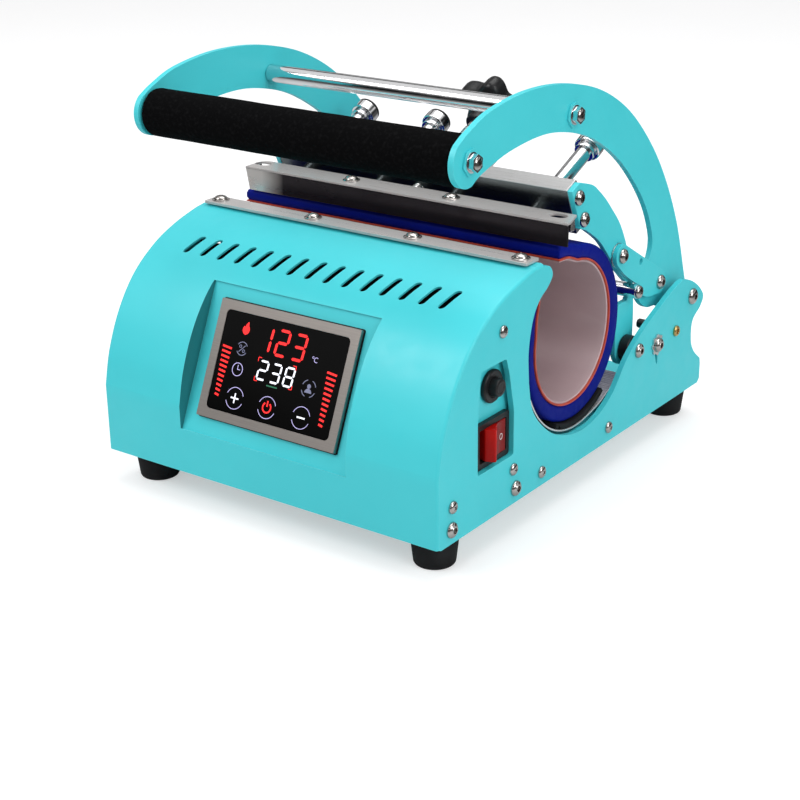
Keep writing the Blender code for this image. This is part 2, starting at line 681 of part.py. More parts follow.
# ---------------------------------------------------------------- handle
def handle_arm_outline():
    """Curved arm from the grip over the top to the pivot, with a lobe for the link pin."""
    tip = arc((50.3, 254.8), 15.7, 285, 130, 5)
    back = smooth([tip[-1], (52.0, 273.0), (75.0, 281.0), (115.0, 285.5), (160.0, 282.5), (205.0, 271.0),
                   (245.0, 250.0), (279.0, 220.0), (304.0, 188.0), (324.0, 152.0), (338.0, 114.0)], 3)
    eye = arc(HANDLE_PIVOT, 13.5, 10, -100, 5)
    under = smooth([eye[-1], (314.0, 87.5), (297.0, 97.0), (281.0, 100.0), (269.0, 110.0), (271.0, 122.0),
                    (282.0, 133.5), (286.6, 146.0), (284.0, 158.0), (274.5, 176.0), (258.0, 196.0),
                    (235.0, 217.0), (208.0, 234.5), (180.0, 246.5), (140.0, 254.5), (98.0, 252.5),
                    (66.0, 245.0), tip[0]], 3)
    return tip + back[1:] + eye + under[1:-1]


def handle_arms():
    holes = [circle(HANDLE_PIVOT, 4.3, 12), circle(TIE_ROD, 4.3, 12), circle(GRIP_AXIS, 4.3, 12)]
    holes.append(circle(LINK_HIGH, 3.3, 12))
    for label, side in SIDES:
        x_low, x_high = mirrored(side, ARM_OUTER - PLATE, ARM_OUTER)
        plate(f"handle_arm_{label}", handle_arm_outline(), x_low, x_high, turquoise(), holes,
              (0.0, *HANDLE_PIVOT))


def through_rod(name, centre, radius, shank, paint, half, pivot):
    """Rod between the arms whose thinner ends pass through them and end in screw heads."""
    head = ARM_OUTER + GAP
    right = [(radius, half), (shank, half), (shank, head), (5.4, head), (5.4, head + 1.8), (3.6, head + 3.4),
             (0.0, head + 3.7)]
    profile = [(radius_, -distance) for radius_, distance in reversed(right)] + right
    return turned(name, profile, (0.0, *centre), (1, 0, 0), paint, ROUND, pivot)


def handle_rods():
    """Tie rod, core tube and foam grip of the handle."""
    inner = ARM_OUTER - PLATE - GAP
    pivot = (0.0, *HANDLE_PIVOT)
    through_rod("tie_rod", TIE_ROD, 6.3, 4.0, chrome(), inner, pivot)
    through_rod("handle_tube", GRIP_AXIS, 11.0, 4.0, stainless(), inner, pivot)
    bm = bmesh.new()
    half = inner - 0.5
    sleeve = [(11.3, -half), (14.6, -half), (16.0, -half + 1.4), (16.0, half - 1.4), (14.6, half),
              (11.3, half), (11.3, -half)]
    add_turned(bm, sleeve, (0.0, *GRIP_AXIS), (1, 0, 0), ROUND_LARGE)
    finish("foam_grip", bm, black_foam(), pivot, 40)


# ---------------------------------------------------------------- clamp frame
def inner_arm_outline():
    """Inner arm: crossbar end, curved neck to the link pin, notch for the cross rod, pivot eye."""
    bar = [head_point(BAR_NEAR, BAR_ABOVE), head_point(BAR_FAR - 3.0, BAR_ABOVE)]
    back = smooth([bar[-1], (198.5, 208.8), (208.0, 202.5), (217.5, 194.7), (227.0, 185.2),
                   (236.5, 175.0), (243.8, 164.0), (250.5, 150.5), (259.0, 128.0), (262.0, 106.0),
                   (262.2, 84.0)], 3)
    eye = arc(CLAMP_PIVOT, 12.5, 0, -180, 7)
    shin = [(237.0, 100.0), (239.5, 113.5)]
    notch = [(252.5, 113.5), *arc((252.5, CROSS_ROD[1]), 6.0, -90, 90, 4), (250.0, 127.4)]
    neck = smooth([notch[-1], (234.0, 141.5), (226.0, 150.5), (210.0, 167.0), (191.0, 179.5)], 3)
    heel = [(183.5, 182.0), head_point(BAR_NEAR, -9.0)]
    return bar + back[1:] + eye[1:] + shin + notch + neck[1:] + heel


BAR_BOLT_RISES = (11.4, -6.6)


def clamp_frame():
    """Inner arms, the crossbar bolted between them and the cross rod."""
    pivot = (0.0, *CLAMP_PIVOT)
    holes = [circle(CLAMP_PIVOT, 4.3, 12), circle(LINK_LOW, 3.3, 12)]
    holes += [circle(head_point(0.0, rise), 3.3, 12) for rise in BAR_BOLT_RISES]
    for label, side in SIDES:
        x_low, x_high = mirrored(side, ARM_OUTER - PLATE, ARM_OUTER)
        plate(f"inner_arm_{label}", inner_arm_outline(), x_low, x_high, turquoise(), holes, pivot)
    crossbar(pivot)
    head = ARM_OUTER + 8.5
    right = [(5.0, head), (5.4, head), (5.4, head + 1.6), (3.6, head + 2.9), (0.0, head + 3.2)]
    profile = [(radius, -distance) for radius, distance in reversed(right)] + right
    turned("cross_rod", profile, (0.0, *CROSS_ROD), (1, 0, 0), chrome(), ROUND, pivot)


def crossbar(pivot):
    """Solid bar with bores for the guide rods and screw, and a bolt head at each end hole."""
    half = ARM_OUTER - PLATE - GAP
    corners = [head_point(BAR_NEAR, -BAR_BELOW), head_point(BAR_FAR, -BAR_BELOW),
               head_point(BAR_FAR, BAR_ABOVE), head_point(BAR_NEAR, BAR_ABOVE)]
    bar = plate("crossbar", corners, -half, half, stainless(), pivot=pivot)
    start = 2 * BAR_NEAR
    drills = []
    for number, x in enumerate((*GUIDE_ROD_X, 0.0), 1):
        radius = 5.9 if x else 5.4
        profile = [(0.0, 0.0), (radius, 0.0), (radius, 4 * BAR_FAR), (0.0, 4 * BAR_FAR)]
        drills.append(turned(f"guide_bore_guide_{number}", profile, (x, *head_point(start)), HEAD_AXIS,
                             stainless()))
    cut(bar, drills)
    seat = ARM_OUTER + GAP
    stud = [(0.0, half - 8.0), (3.0, half - 8.0), (3.0, seat), (5.3, seat), (5.3, ARM_OUTER + 1.2),
            (4.3, ARM_OUTER + 2.9), (2.4, ARM_OUTER + 3.7), (0.0, ARM_OUTER + 3.9)]
    studs = []
    for side_label, side in SIDES:
        for number, rise in enumerate(BAR_BOLT_RISES, 1):
            studs.append(turned(f"bar_bolt_guide_{side_label}_{number}", stud,
                                (0.0, *head_point(0.0, rise)), (side, 0, 0), chrome(), 12))
    return cut(bar, studs, "UNION")


# ---------------------------------------------------------------- pressure head
UPPER_FRONT = 147.0
UPPER_REAR = 168.0
UPPER_TOP = 196.4
UPPER_LOW = 179.6
UPPER_SHEET = 1.5
UPPER_HOLE_X = (-124.5, 124.5)
UPPER_LEFT = -131.0
UPPER_RIGHT = 140.0
CLAMP_BAR_HALF = 112.0


def upper_clamp_strip():
    """Stainless angle over the clamp bar, with an open hole near each end."""
    outline = [(UPPER_FRONT, UPPER_LOW), (UPPER_FRONT + UPPER_SHEET, UPPER_LOW),
               (UPPER_FRONT + UPPER_SHEET, UPPER_TOP - UPPER_SHEET), (UPPER_REAR, UPPER_TOP - UPPER_SHEET),
               (UPPER_REAR, UPPER_TOP), (UPPER_FRONT, UPPER_TOP)]
    strip = plate("upper_clamp_strip", outline, UPPER_LEFT, UPPER_RIGHT, stainless())
    rod = [(0.0, 0.0), (4.0, 0.0), (4.0, 12.0), (0.0, 12.0)]
    drills = [turned(f"upper_hole_guide_{number}", rod, (x, 160.0, UPPER_TOP - 6.0), (0, 0, 1),
                     stainless(), 12) for number, x in enumerate(UPPER_HOLE_X, 1)]
    return cut(strip, drills)


def clamp_bar():
    """Bar behind the strip that carries the mat's upper edge; the guide rods end inside it."""
    front = UPPER_FRONT + UPPER_SHEET + GAP
    top = UPPER_TOP - UPPER_SHEET - GAP
    outline = [(front, UPPER_LOW), (164.0, UPPER_LOW), (166.5, 184.0), (166.5, top), (front, top)]
    bar = plate("clamp_bar", outline, -CLAMP_BAR_HALF, CLAMP_BAR_HALF, black_plastic())
    drills = []
    for number, x in enumerate((*GUIDE_ROD_X, 0.0), 1):
        profile = [(0.0, 0.0), (5.9, 0.0), (5.9, 20.0), (0.0, 20.0)]
        base = (x, *head_point(ROD_START - GAP))
        drills.append(turned(f"bar_bore_guide_{number}", profile, base, HEAD_AXIS, stainless(), 12))
    return cut(bar, drills)


ROD_COLLAR = 59.0              # collars of the guide rods, from the middle of the crossbar


def guide_rods():
    """Chrome rods that slide in the crossbar, each with a collar and a cap behind it."""
    collar = ROD_COLLAR - ROD_START
    profile = [(0.0, 0.0), (5.5, 0.0), (5.5, collar), (7.4, collar), (7.4, collar + 4.0), (9.6, collar + 4.0),
               (9.6, collar + 13.5), (8.6, collar + 14.5), (0.0, collar + 14.5)]
    for number, x in enumerate(GUIDE_ROD_X, 1):
        turned(f"guide_rod_{number}", profile, (x, *head_point(ROD_START)), HEAD_AXIS, chrome())


KNOB_FRONT = 87.0
KNOB_DEPTH = 17.0
KNOB_LOBES = 5
KNOB_RADIUS = 21.6             # mean radius and height of the lobes
LOBE_HEIGHT = 3.6


def star_knob():
    """Knob with five lobes on the rear end of the pressure screw."""
    outline = []
    count = KNOB_LOBES * 8
    for i in range(count):
        angle = 2 * math.pi * i / count
        radius = KNOB_RADIUS + LOBE_HEIGHT * math.cos(KNOB_LOBES * angle)
        outline.append((radius * math.cos(angle), radius * math.sin(angle)))
    turn = Vector((0.0, 0.0, 1.0)).rotation_difference(Vector(HEAD_AXIS)).to_matrix()
    start = to_world(0.0, *head_point(KNOB_FRONT))
    rings = [(0.82, 0.0), (1.0, 0.16), (1.0, 0.84), (0.82, 1.0)]
    bm = bmesh.new()
    loops = []
    for scale, height in rings:
        loops.append([bm.verts.new(start + turn @ Vector((x * scale, y * scale, height * KNOB_DEPTH)) * MM)
                      for x, y in outline])
    for low, high in zip(loops, loops[1:]):
        join_rings(bm, low, high, count)
    bm.faces.new(loops[0][::-1])
    bm.faces.new(loops[-1])
    return finish("star_knob", bm, black_plastic(), (0.0, *head_point(KNOB_FRONT)), 35)


def pressure_screw():
    """Screw through the crossbar, with a black hub where it meets the knob."""
    end = KNOB_FRONT - ROD_START - GAP
    profile = [(0.0, 0.0), (5.0, 0.0), (5.0, end - 16.0), (8.5, end - 14.0), (8.5, end), (0.0, end)]
    turned("pressure_screw", profile, (0.0, *head_point(ROD_START)), HEAD_AXIS, stainless(), ROUND,
           (0.0, *head_point(0.0)))


# ---------------------------------------------------------------- toggle links
def link_point(distance, rise):
    """Side-view point of a link: along the line from the low pin to the high pin, and above it."""
    low = Vector(LINK_LOW)
    along = (Vector(LINK_HIGH) - low).normalized()
    return tuple(low + along * distance + Vector((-along.y, along.x)) * rise)


def link_outline():
    """Link plate: round ends, straight upper edge, and a lobe below that meets the cross rod."""
    length = (Vector(LINK_HIGH) - Vector(LINK_LOW)).length
    near = [link_point(*point) for point in arc((0.0, 0.0), 8.2, 90, 250, 6)]
    lobe = [(10.0, -10.2), (26.0, -11.0), (37.0, -11.2), (41.0, -15.5), (54.0, -15.0)]
    far = [link_point(*point) for point in arc((length, 0.0), 8.6, -80, 90, 6)]
    return near + [link_point(*point) for point in lobe] + far


def links():
    """Link plates, each carrying the head of its high pin, and the low pins in the inner arms."""
    head_start = LINK_INNER + LINK_THICK + 0.3
    pin = [(0.0, 0.0), (3.0, 0.0), (3.0, 9.0), (5.3, 9.0), (5.3, 9.6), (4.4, 11.0), (2.4, 11.7), (0.0, 11.8)]
    for label, side in SIDES:
        x_low, x_high = mirrored(side, LINK_INNER, LINK_INNER + LINK_THICK)
        pivot = (0.0, *LINK_LOW)
        made = plate(f"link_{label}", link_outline(), x_low, x_high, turquoise(), [circle(LINK_LOW, 3.3, 12)],
                     pivot)
        knob = [(0.0, 0.0), (5.3, 0.0), (5.3, 2.6), (4.4, 4.0), (2.4, 4.7), (0.0, 4.8)]
        boss = turned(f"high_pin_guide_{label}", knob, (side * (head_start - 2.0), *LINK_HIGH), (side, 0, 0),
                      chrome())
        cut(made, [boss], "UNION")
        base = (side * (head_start - 9.0), *LINK_LOW)
        turned(f"link_pin_{label}", pin, base, (side, 0, 0), chrome(), ROUND,
               pivot)


# ---------------------------------------------------------------- assembly
def clear_scene():
    for item in list(bpy.data.objects):
        bpy.data.objects.remove(item, do_unlink=True)


def main():
    clear_scene()
    side_plates()
    front_cover()
    base_plate()
    rear_panel()
    mains_inlet()
    feet()
    body_bolts()
    limit_screws()
    stop_pins()
    pivot_bolts()
    display()
    switch_bracket()
    switch_housing()
    rocker_button()
    breaker()
    heater()
    cradle()
    front_clamp_strip()
    handle_arms()
    handle_rods()
    clamp_frame()
    upper_clamp_strip()
    clamp_bar()
    guide_rods()
    star_knob()
    pressure_screw()
    links()


main()
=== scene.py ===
import math

import bmesh
import bpy
from mathutils import Matrix, Vector, noise


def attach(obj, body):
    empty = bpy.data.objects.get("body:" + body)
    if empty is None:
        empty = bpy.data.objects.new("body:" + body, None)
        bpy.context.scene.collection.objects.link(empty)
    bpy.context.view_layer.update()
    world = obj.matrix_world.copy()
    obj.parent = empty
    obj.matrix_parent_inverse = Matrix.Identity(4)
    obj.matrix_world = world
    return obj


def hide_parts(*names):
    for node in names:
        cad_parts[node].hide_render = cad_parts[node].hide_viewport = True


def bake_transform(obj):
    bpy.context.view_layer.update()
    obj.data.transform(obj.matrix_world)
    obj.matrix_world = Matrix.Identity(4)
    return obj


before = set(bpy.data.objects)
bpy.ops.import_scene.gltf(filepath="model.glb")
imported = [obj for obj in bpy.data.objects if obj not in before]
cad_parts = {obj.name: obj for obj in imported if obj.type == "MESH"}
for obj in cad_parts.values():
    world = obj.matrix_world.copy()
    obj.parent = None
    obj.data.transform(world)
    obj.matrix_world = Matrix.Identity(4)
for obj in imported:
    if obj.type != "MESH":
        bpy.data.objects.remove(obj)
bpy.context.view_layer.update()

# The side view is drawn in millimetres as (distance behind the front edge, height above the ground).
MM = 0.001
DEPTH = 350.0
HALF_WIDTH = 140.0
PLATE = 4.0
SHEET = 1.6
HALF_MAT = 133.0
HALF_STRIP = 135.0
FOOT_HEIGHT = 23.0
HANDLE_PIVOT = (330.0, 97.0)
CLAMP_PIVOT = (249.7, 78.8)
LINK_LOW = (235.0, 151.0)
LINK_HIGH = (292.5, 117.0)
CROSS_ROD = (252.5, 121.0)
TIE_ROD = (171.0, 260.9)
GRIP_AXIS = (52.4, 254.6)
ARM_OUTER = 128.0
LINK_INNER = 129.0
LINK_THICK = 3.4
HEAD_TILT = math.radians(24.0)
HEAD_CENTRE = (185.0, 193.7)
HEAD_AXIS = Vector((0.0, math.cos(HEAD_TILT), math.sin(HEAD_TILT)))
BAR_NEAR = -5.5
BAR_FAR = 7.8
BAR_ABOVE = 20.0
BAR_BELOW = 15.8
ROD_START = -22.5
GUIDE_ROD_X = (-97.0, -32.0, 32.0, 97.0)
MAT_CENTRE = (172.1, 113.1)
MAT_HALF_DEPTH = 59.6
MAT_HALF_HEIGHT = 61.2
JACKET = 11.2
JACKET_BULGE = 3.2
JACKET_BULGE_ANGLE = math.radians(-30.0)
RECESS_HALF = 70.0
RECESS_LOW = (0.0, 56.0)
RECESS_HIGH = (41.0, 148.5)
RECESS_SINK = 1.8
WINDOW = [(44.0, 58.0), (85.5, 58.0), (85.5, 89.0), (79.5, 116.0), (76.0, 126.5), (47.0, 126.5), (44.0, 93.0)]
SIDES = (("right", 1), ("left", -1))
ROCKER_AXIS = (131.2, 66.8, 74.0)
SMOOTH_STEPS = 10


# ---------------------------------------------------------------- outlines, in mm
def arc(centre, radius, start, end, steps, radius_v=None):
    high = radius if radius_v is None else radius_v
    points = []
    for i in range(steps + 1):
        angle = math.radians(start + (end - start) * i / steps)
        points.append((centre[0] + radius * math.cos(angle), centre[1] + high * math.sin(angle)))
    return points


def circle(centre, radius, steps=40):
    return arc(centre, radius, 0, 360, steps)[:-1]


def smooth(points, steps=SMOOTH_STEPS):
    """Catmull-Rom curve through the points, both end points included."""
    padded = [points[0], *points, points[-1]]
    curve = []
    for i in range(1, len(padded) - 2):
        a, b, c, d = (Vector(p) for p in padded[i - 1:i + 3])
        for k in range(steps):
            t = k / steps
            bend = (c - a) * t + (2 * a - 5 * b + 4 * c - d) * t ** 2 + (3 * b - a - 3 * c + d) * t ** 3
            curve.append(tuple(b + bend / 2))
    curve.append(tuple(points[-1]))
    return curve


def offset(path, distance):
    """An open path moved to the left of its direction, by a number or by a function of the point."""
    moved = []
    for i, point in enumerate(path):
        shift = distance(point) if callable(distance) else distance
        along = (Vector(path[min(i + 1, len(path) - 1)]) - Vector(path[max(i - 1, 0)])).normalized()
        moved.append((point[0] - along.y * shift, point[1] + along.x * shift))
    return moved


def band(path, near, far):
    return offset(path, near) + offset(path, far)[::-1]


def rounded_rectangle(low, high, radius, steps=6):
    (x0, y0), (x1, y1) = low, high
    corners = [((x1 - radius, y1 - radius), 0), ((x0 + radius, y1 - radius), 90),
               ((x0 + radius, y0 + radius), 180), ((x1 - radius, y0 + radius), 270)]
    loop = []
    for centre, start in corners:
        loop += arc(centre, radius, start, start + 90, steps)
    return loop


def at(x, depth, height):
    return Vector((x * MM, (depth - DEPTH / 2) * MM, height * MM))


def side_view(x_low, x_high):
    """Maps an outline point and a 0-1 thickness to the frame, for a sheet standing square to X."""
    return lambda point, t: at(x_low + (x_high - x_low) * t, *point)


def panel_view(low, high):
    """Maps (x, distance up the display recess) and thickness to the frame; low and high are outward mm."""
    return lambda point, t: at(point[0], *recess_point(point[1], -(low + (high - low) * t)))


def head_point(distance, rise=0.0):
    along = Vector((math.cos(HEAD_TILT), math.sin(HEAD_TILT)))
    across = Vector((-math.sin(HEAD_TILT), math.cos(HEAD_TILT)))
    return tuple(Vector(HEAD_CENTRE) + along * distance + across * rise)


def recess_point(distance, depth):
    low = Vector(RECESS_LOW)
    up = (Vector(RECESS_HIGH) - low).normalized()
    return tuple(low + up * distance + Vector((up.y, -up.x)) * depth)


# ---------------------------------------------------------------- node materials
class Look:
    """A Principled material built up from procedural layers in object space (metres)."""

    def __init__(self, name, colour, roughness, metallic=0.0, **inputs):
        self.material = bpy.data.materials.new(name)
        self.material.use_nodes = True
        self.material.diffuse_color = (*colour, 1.0)
        self.tree = self.material.node_tree
        self.shader = self.tree.nodes["Principled BSDF"]
        self.colour = (*colour, 1.0)
        self.height = None
        self.set("Base Color", self.colour)
        self.set("Roughness", roughness)
        self.set("Metallic", metallic)
        for key, value in inputs.items():
            self.set(key.replace("_", " "), value)

    def set(self, key, value):
        self.shader.inputs[key].default_value = value

    def node(self, kind, **values):
        made = self.tree.nodes.new(kind)
        for key, value in values.items():
            if hasattr(made, key):
                setattr(made, key, value)
            else:
                made.inputs[key.replace("_", " ")].default_value = value
        return made

    def link(self, start, end):
        self.tree.links.new(start, end)

    def coordinates(self, stretch=(1.0, 1.0, 1.0)):
        place = self.node("ShaderNodeMapping")
        place.inputs["Scale"].default_value = stretch
        self.link(self.node("ShaderNodeTexCoord").outputs["Object"], place.inputs["Vector"])
        return place.outputs["Vector"]

    def noise(self, scale, detail=3.0, stretch=(1.0, 1.0, 1.0), roughness=0.5):
        made = self.node("ShaderNodeTexNoise", Scale=scale, Detail=detail, Roughness=roughness)
        self.link(self.coordinates(stretch), made.inputs["Vector"])
        return made.outputs["Fac"]

    def cells(self, scale, stretch=(1.0, 1.0, 1.0)):
        made = self.node("ShaderNodeTexVoronoi", Scale=scale)
        self.link(self.coordinates(stretch), made.inputs["Vector"])
        return made.outputs["Distance"]

    def weave(self, scale, stretch=(1.0, 1.0, 1.0)):
        """Crossed threads: the product of two wave textures."""
        waves = []
        for direction in ("X", "Z"):
            wave = self.node("ShaderNodeTexWave", wave_type="BANDS", bands_direction=direction, Scale=scale)
            self.link(self.coordinates(stretch), wave.inputs["Vector"])
            waves.append(wave.outputs["Fac"])
        product = self.node("ShaderNodeMath", operation="MULTIPLY")
        self.link(waves[0], product.inputs[0])
        self.link(waves[1], product.inputs[1])
        return product.outputs[0]

    def axis(self, name):
        split = self.node("ShaderNodeSeparateXYZ")
        self.link(self.coordinates(), split.inputs[0])
        return split.outputs[name]

    def ramp(self, value, low, high, start=0.3, end=0.7):
        made = self.node("ShaderNodeMapRange")
        for key, number in (("From Min", start), ("From Max", end), ("To Min", low), ("To Max", high)):
            made.inputs[key].default_value = number
        self.link(value, made.inputs["Value"])
        return made.outputs["Result"]

    def tint(self, value, other, start=0.3, end=0.7, amount=1.0):
        """Mixes another colour over the base colour where the value is high."""
        mix = self.node("ShaderNodeMix", data_type="RGBA")
        mix.inputs[7].default_value = (*other, 1.0)
        feed = self.shader.inputs["Base Color"]
        if feed.is_linked:
            self.link(feed.links[0].from_socket, mix.inputs[6])
        else:
            mix.inputs[6].default_value = self.colour
        self.link(self.ramp(value, 0.0, amount, start, end), mix.inputs[0])
        self.link(mix.outputs[2], feed)
        return self

    def rough(self, value, low, high, start=0.3, end=0.7):
        self.link(self.ramp(value, low, high, start, end), self.shader.inputs["Roughness"])
        return self

    def bump(self, value, strength, distance_mm):
        made = self.node("ShaderNodeBump", Strength=strength, Distance=distance_mm * MM)
        self.link(value, made.inputs["Height"])
        if self.height is not None:
            self.link(self.height, made.inputs["Normal"])
        self.height = made.outputs["Normal"]
        self.link(self.height, self.shader.inputs["Normal"])
        return self

    def edges(self, other, amount=0.5):
        """Lightens the edges, as handling does: they are where a rounded normal leaves the true one."""
        rounded = self.node("ShaderNodeBevel", samples=3, Radius=0.7 * MM)
        compare = self.node("ShaderNodeVectorMath", operation="DOT_PRODUCT")
        self.link(rounded.outputs["Normal"], compare.inputs[0])
        self.link(self.node("ShaderNodeNewGeometry").outputs["Normal"], compare.inputs[1])
        return self.tint(compare.outputs["Value"], other, 0.99, 0.85, amount)


def powder_coat(name, share):
    """Turquoise powder coat; a share below one is for walls that lie in deep shade."""
    colour, darker, worn = (tuple(share * c for c in paint) for paint in (
        (0.055, 0.590, 0.650), (0.048, 0.555, 0.618), (0.16, 0.70, 0.75)))
    look = Look(name, colour, 0.46, Coat_Weight=0.12, Coat_Roughness=0.3)
    look.set("Specular IOR Level", 0.35)
    look.tint(look.noise(14.0, 4.0), darker, 0.35, 0.65, 0.6)
    look.edges(worn, 0.45)
    look.rough(look.noise(90.0, 4.0), 0.36, 0.50)
    look.bump(look.noise(1400.0, 3.0), 0.35, 0.03)
    return look.bump(look.noise(320.0, 2.0), 0.10, 0.06).material


def brushed(name, colour, roughness=0.30, metallic=1.0):
    """Steel brushed along X."""
    look = Look(name, colour, roughness, metallic)
    streaks = look.noise(1800.0, 5.0, (0.012, 1.0, 1.0), 0.7)
    look.tint(streaks, tuple(c * 0.78 for c in colour), 0.35, 0.7, 0.8)
    look.rough(streaks, roughness - 0.06, roughness + 0.12)
    look.tint(look.noise(22.0, 3.0), tuple(c * 0.9 for c in colour), 0.4, 0.7, 0.5)
    return look.bump(streaks, 0.25, 0.012).material


def chrome():
    look = Look("polished_chrome", (0.78, 0.78, 0.79), 0.10, 1.0)
    look.rough(look.noise(70.0, 6.0), 0.05, 0.20)
    look.tint(look.noise(35.0, 3.0), (0.62, 0.62, 0.64), 0.45, 0.75, 0.5)
    return look.bump(look.noise(2200.0, 2.0), 0.08, 0.006).material


def nickel():
    """Plated screw heads, a little darker than the rods."""
    look = Look("nickel_plate", (0.52, 0.49, 0.47), 0.14, 1.0)
    look.rough(look.noise(140.0, 5.0), 0.08, 0.24)
    look.tint(look.noise(90.0, 3.0), (0.34, 0.31, 0.29), 0.45, 0.72, 0.7)
    look.edges((0.70, 0.69, 0.68), 0.35)
    return look.bump(look.noise(1800.0, 2.0), 0.10, 0.006).material


def crossbar_steel():
    """Brushed bar whose front face is painted dark, a painted reflection of the dark space under the handle.
    """
    look = Look("brushed_crossbar", (0.52, 0.52, 0.52), 0.30, 1.0)
    streaks = look.noise(1800.0, 5.0, (0.012, 1.0, 1.0), roughness=0.7)
    look.tint(streaks, (0.41, 0.41, 0.41), 0.35, 0.7, 0.8)
    # Painted reflection: faces turned to the front are painted dark.
    split = look.node("ShaderNodeSeparateXYZ")
    look.link(look.node("ShaderNodeNewGeometry").outputs["Normal"], split.inputs[0])
    look.tint(split.outputs["Y"], (0.06, 0.085, 0.088), -0.45, -0.85, 0.85)
    look.rough(streaks, 0.24, 0.42)
    return look.bump(streaks, 0.20, 0.010).material


def turned_steel():
    look = Look("turned_steel", (0.60, 0.59, 0.58), 0.26, 1.0)
    look.rough(look.noise(160.0, 4.0), 0.18, 0.36)
    look.edges((0.8, 0.8, 0.8), 0.4)
    return look.bump(look.noise(900.0, 3.0), 0.12, 0.01).material


# Where the painted bright reflection fades in, in mm along X.
MIRROR_FADE = (-96.0, -116.0)


def painted_reflection_steel():
    """Polished steel with a painted reflection: painted dark for the dark room, and lighter towards its left
    end for the bright side of it.
    """
    look = Look("steel_with_painted_reflection", (0.020, 0.017, 0.022), 0.2, 0.6)
    look.tint(look.noise(30.0, 4.0, (0.15, 1.0, 1.0)), (0.035, 0.030, 0.034), 0.4, 0.7, 0.8)
    # Painted reflection: lighter towards the left end, for the bright side of the room.
    look.tint(look.axis("X"), (0.86, 0.83, 0.80), MIRROR_FADE[0] * MM, MIRROR_FADE[1] * MM)
    look.rough(look.noise(50.0, 5.0, (0.2, 1.0, 1.0)), 0.12, 0.30)
    return look.bump(look.noise(1200.0, 3.0, (0.03, 1.0, 1.0)), 0.15, 0.01).material


def moulded(name, colour, roughness=0.42):
    look = Look(name, colour, roughness)
    look.set("Specular IOR Level", 0.3)
    look.rough(look.noise(120.0, 4.0), roughness - 0.08, roughness + 0.10)
    look.edges(tuple(min(1.0, c * 2.0 + 0.01) for c in colour), 0.35)
    return look.bump(look.noise(2600.0, 3.0), 0.25, 0.02).material


def rubber():
    look = Look("black_rubber", (0.007, 0.007, 0.008), 0.72)
    look.set("Specular IOR Level", 0.25)
    look.tint(look.noise(60.0, 4.0), (0.016, 0.016, 0.017), 0.5, 0.75, 0.7)
    return look.bump(look.noise(1500.0, 4.0), 0.3, 0.04).material


def foam():
    look = Look("black_foam", (0.0022, 0.0022, 0.0025), 0.95)
    look.set("Specular IOR Level", 0.04)
    look.tint(look.noise(420.0, 5.0), (0.0075, 0.0075, 0.0080), 0.5, 0.8, 0.8)
    look.bump(look.cells(1100.0), 0.55, 0.12)
    return look.bump(look.noise(60.0, 3.0), 0.3, 0.35).material


def silicone_cloth():
    """Royal blue silicone on a woven glass cloth."""
    look = Look("blue_silicone_cloth", (0.001, 0.008, 0.220), 0.52)
    look.set("Specular IOR Level", 0.07)
    look.tint(look.noise(26.0, 4.0), (0.001, 0.005, 0.140), 0.35, 0.7, 0.7)
    look.edges((0.006, 0.020, 0.30), 0.4)
    look.rough(look.noise(180.0, 4.0), 0.40, 0.60)
    look.bump(look.weave(520.0), 0.22, 0.05)
    return look.bump(look.noise(35.0, 2.0), 0.25, 0.6).material


def liner():
    look = Look("grey_mauve_liner", (0.520, 0.390, 0.405), 0.40)
    look.tint(look.noise(9.0, 5.0, (0.6, 1.4, 1.4)), (0.310, 0.215, 0.235), 0.4, 0.72, 0.75)
    look.tint(look.noise(60.0, 6.0, (0.25, 1.0, 1.0)), (0.60, 0.50, 0.50), 0.55, 0.8, 0.5)
    look.rough(look.noise(40.0, 4.0), 0.30, 0.52)
    look.bump(look.noise(700.0, 3.0), 0.15, 0.03)
    return look.bump(look.noise(30.0, 2.0), 0.2, 0.5).material


def lining_edge():
    look = Look("orange_red_edge", (0.50, 0.060, 0.030), 0.5)
    look.tint(look.noise(120.0, 3.0), (0.36, 0.035, 0.020), 0.4, 0.7, 0.8)
    return look.bump(look.noise(900.0, 3.0), 0.2, 0.03).material


def display_panel():
    look = Look("smoked_glass", (0.001, 0.001, 0.001), 0.10)
    look.set("Specular IOR Level", 0.12)
    return look.rough(look.noise(30.0, 5.0), 0.08, 0.16).material


def lit(name, colour, strength):
    look = Look(name, colour, 0.5)
    look.set("Emission Color", (*colour, 1.0))
    look.set("Emission Strength", strength)
    glow = look.noise(300.0, 2.0)
    look.link(look.ramp(glow, strength * 0.85, strength * 1.1), look.shader.inputs["Emission Strength"])
    return look.material


def red_translucent():
    look = Look("red_translucent", (0.46, 0.004, 0.002), 0.25)
    look.set("Specular IOR Level", 0.15)
    look.set("Subsurface Weight", 0.15)
    look.set("Subsurface Scale", 0.002)
    look.tint(look.noise(60.0, 2.0), (0.30, 0.004, 0.004), 0.4, 0.7, 0.8)
    # Painted shade: the rear half of the rocker, behind its middle, is painted darker.
    middle = (ROCKER_AXIS[1] - DEPTH / 2) * MM
    look.tint(look.axis("Y"), (0.14, 0.004, 0.004), middle + 0.5 * MM, middle + 2.0 * MM, 0.85)
    return look.bump(look.noise(900.0, 2.0), 0.08, 0.02).material


def brass():
    look = Look("turned_brass", (0.62, 0.42, 0.16), 0.28, 1.0)
    look.tint(look.noise(300.0, 4.0), (0.40, 0.26, 0.10), 0.45, 0.75, 0.7)
    return look.bump(look.noise(1200.0, 2.0), 0.12, 0.01).material


def circuit_board():
    look = Look("green_circuit_board", (0.015, 0.14, 0.05), 0.35)
    look.tint(look.cells(260.0), (0.05, 0.30, 0.12), 0.35, 0.5, 0.7)
    return look.bump(look.cells(260.0), 0.3, 0.1).material


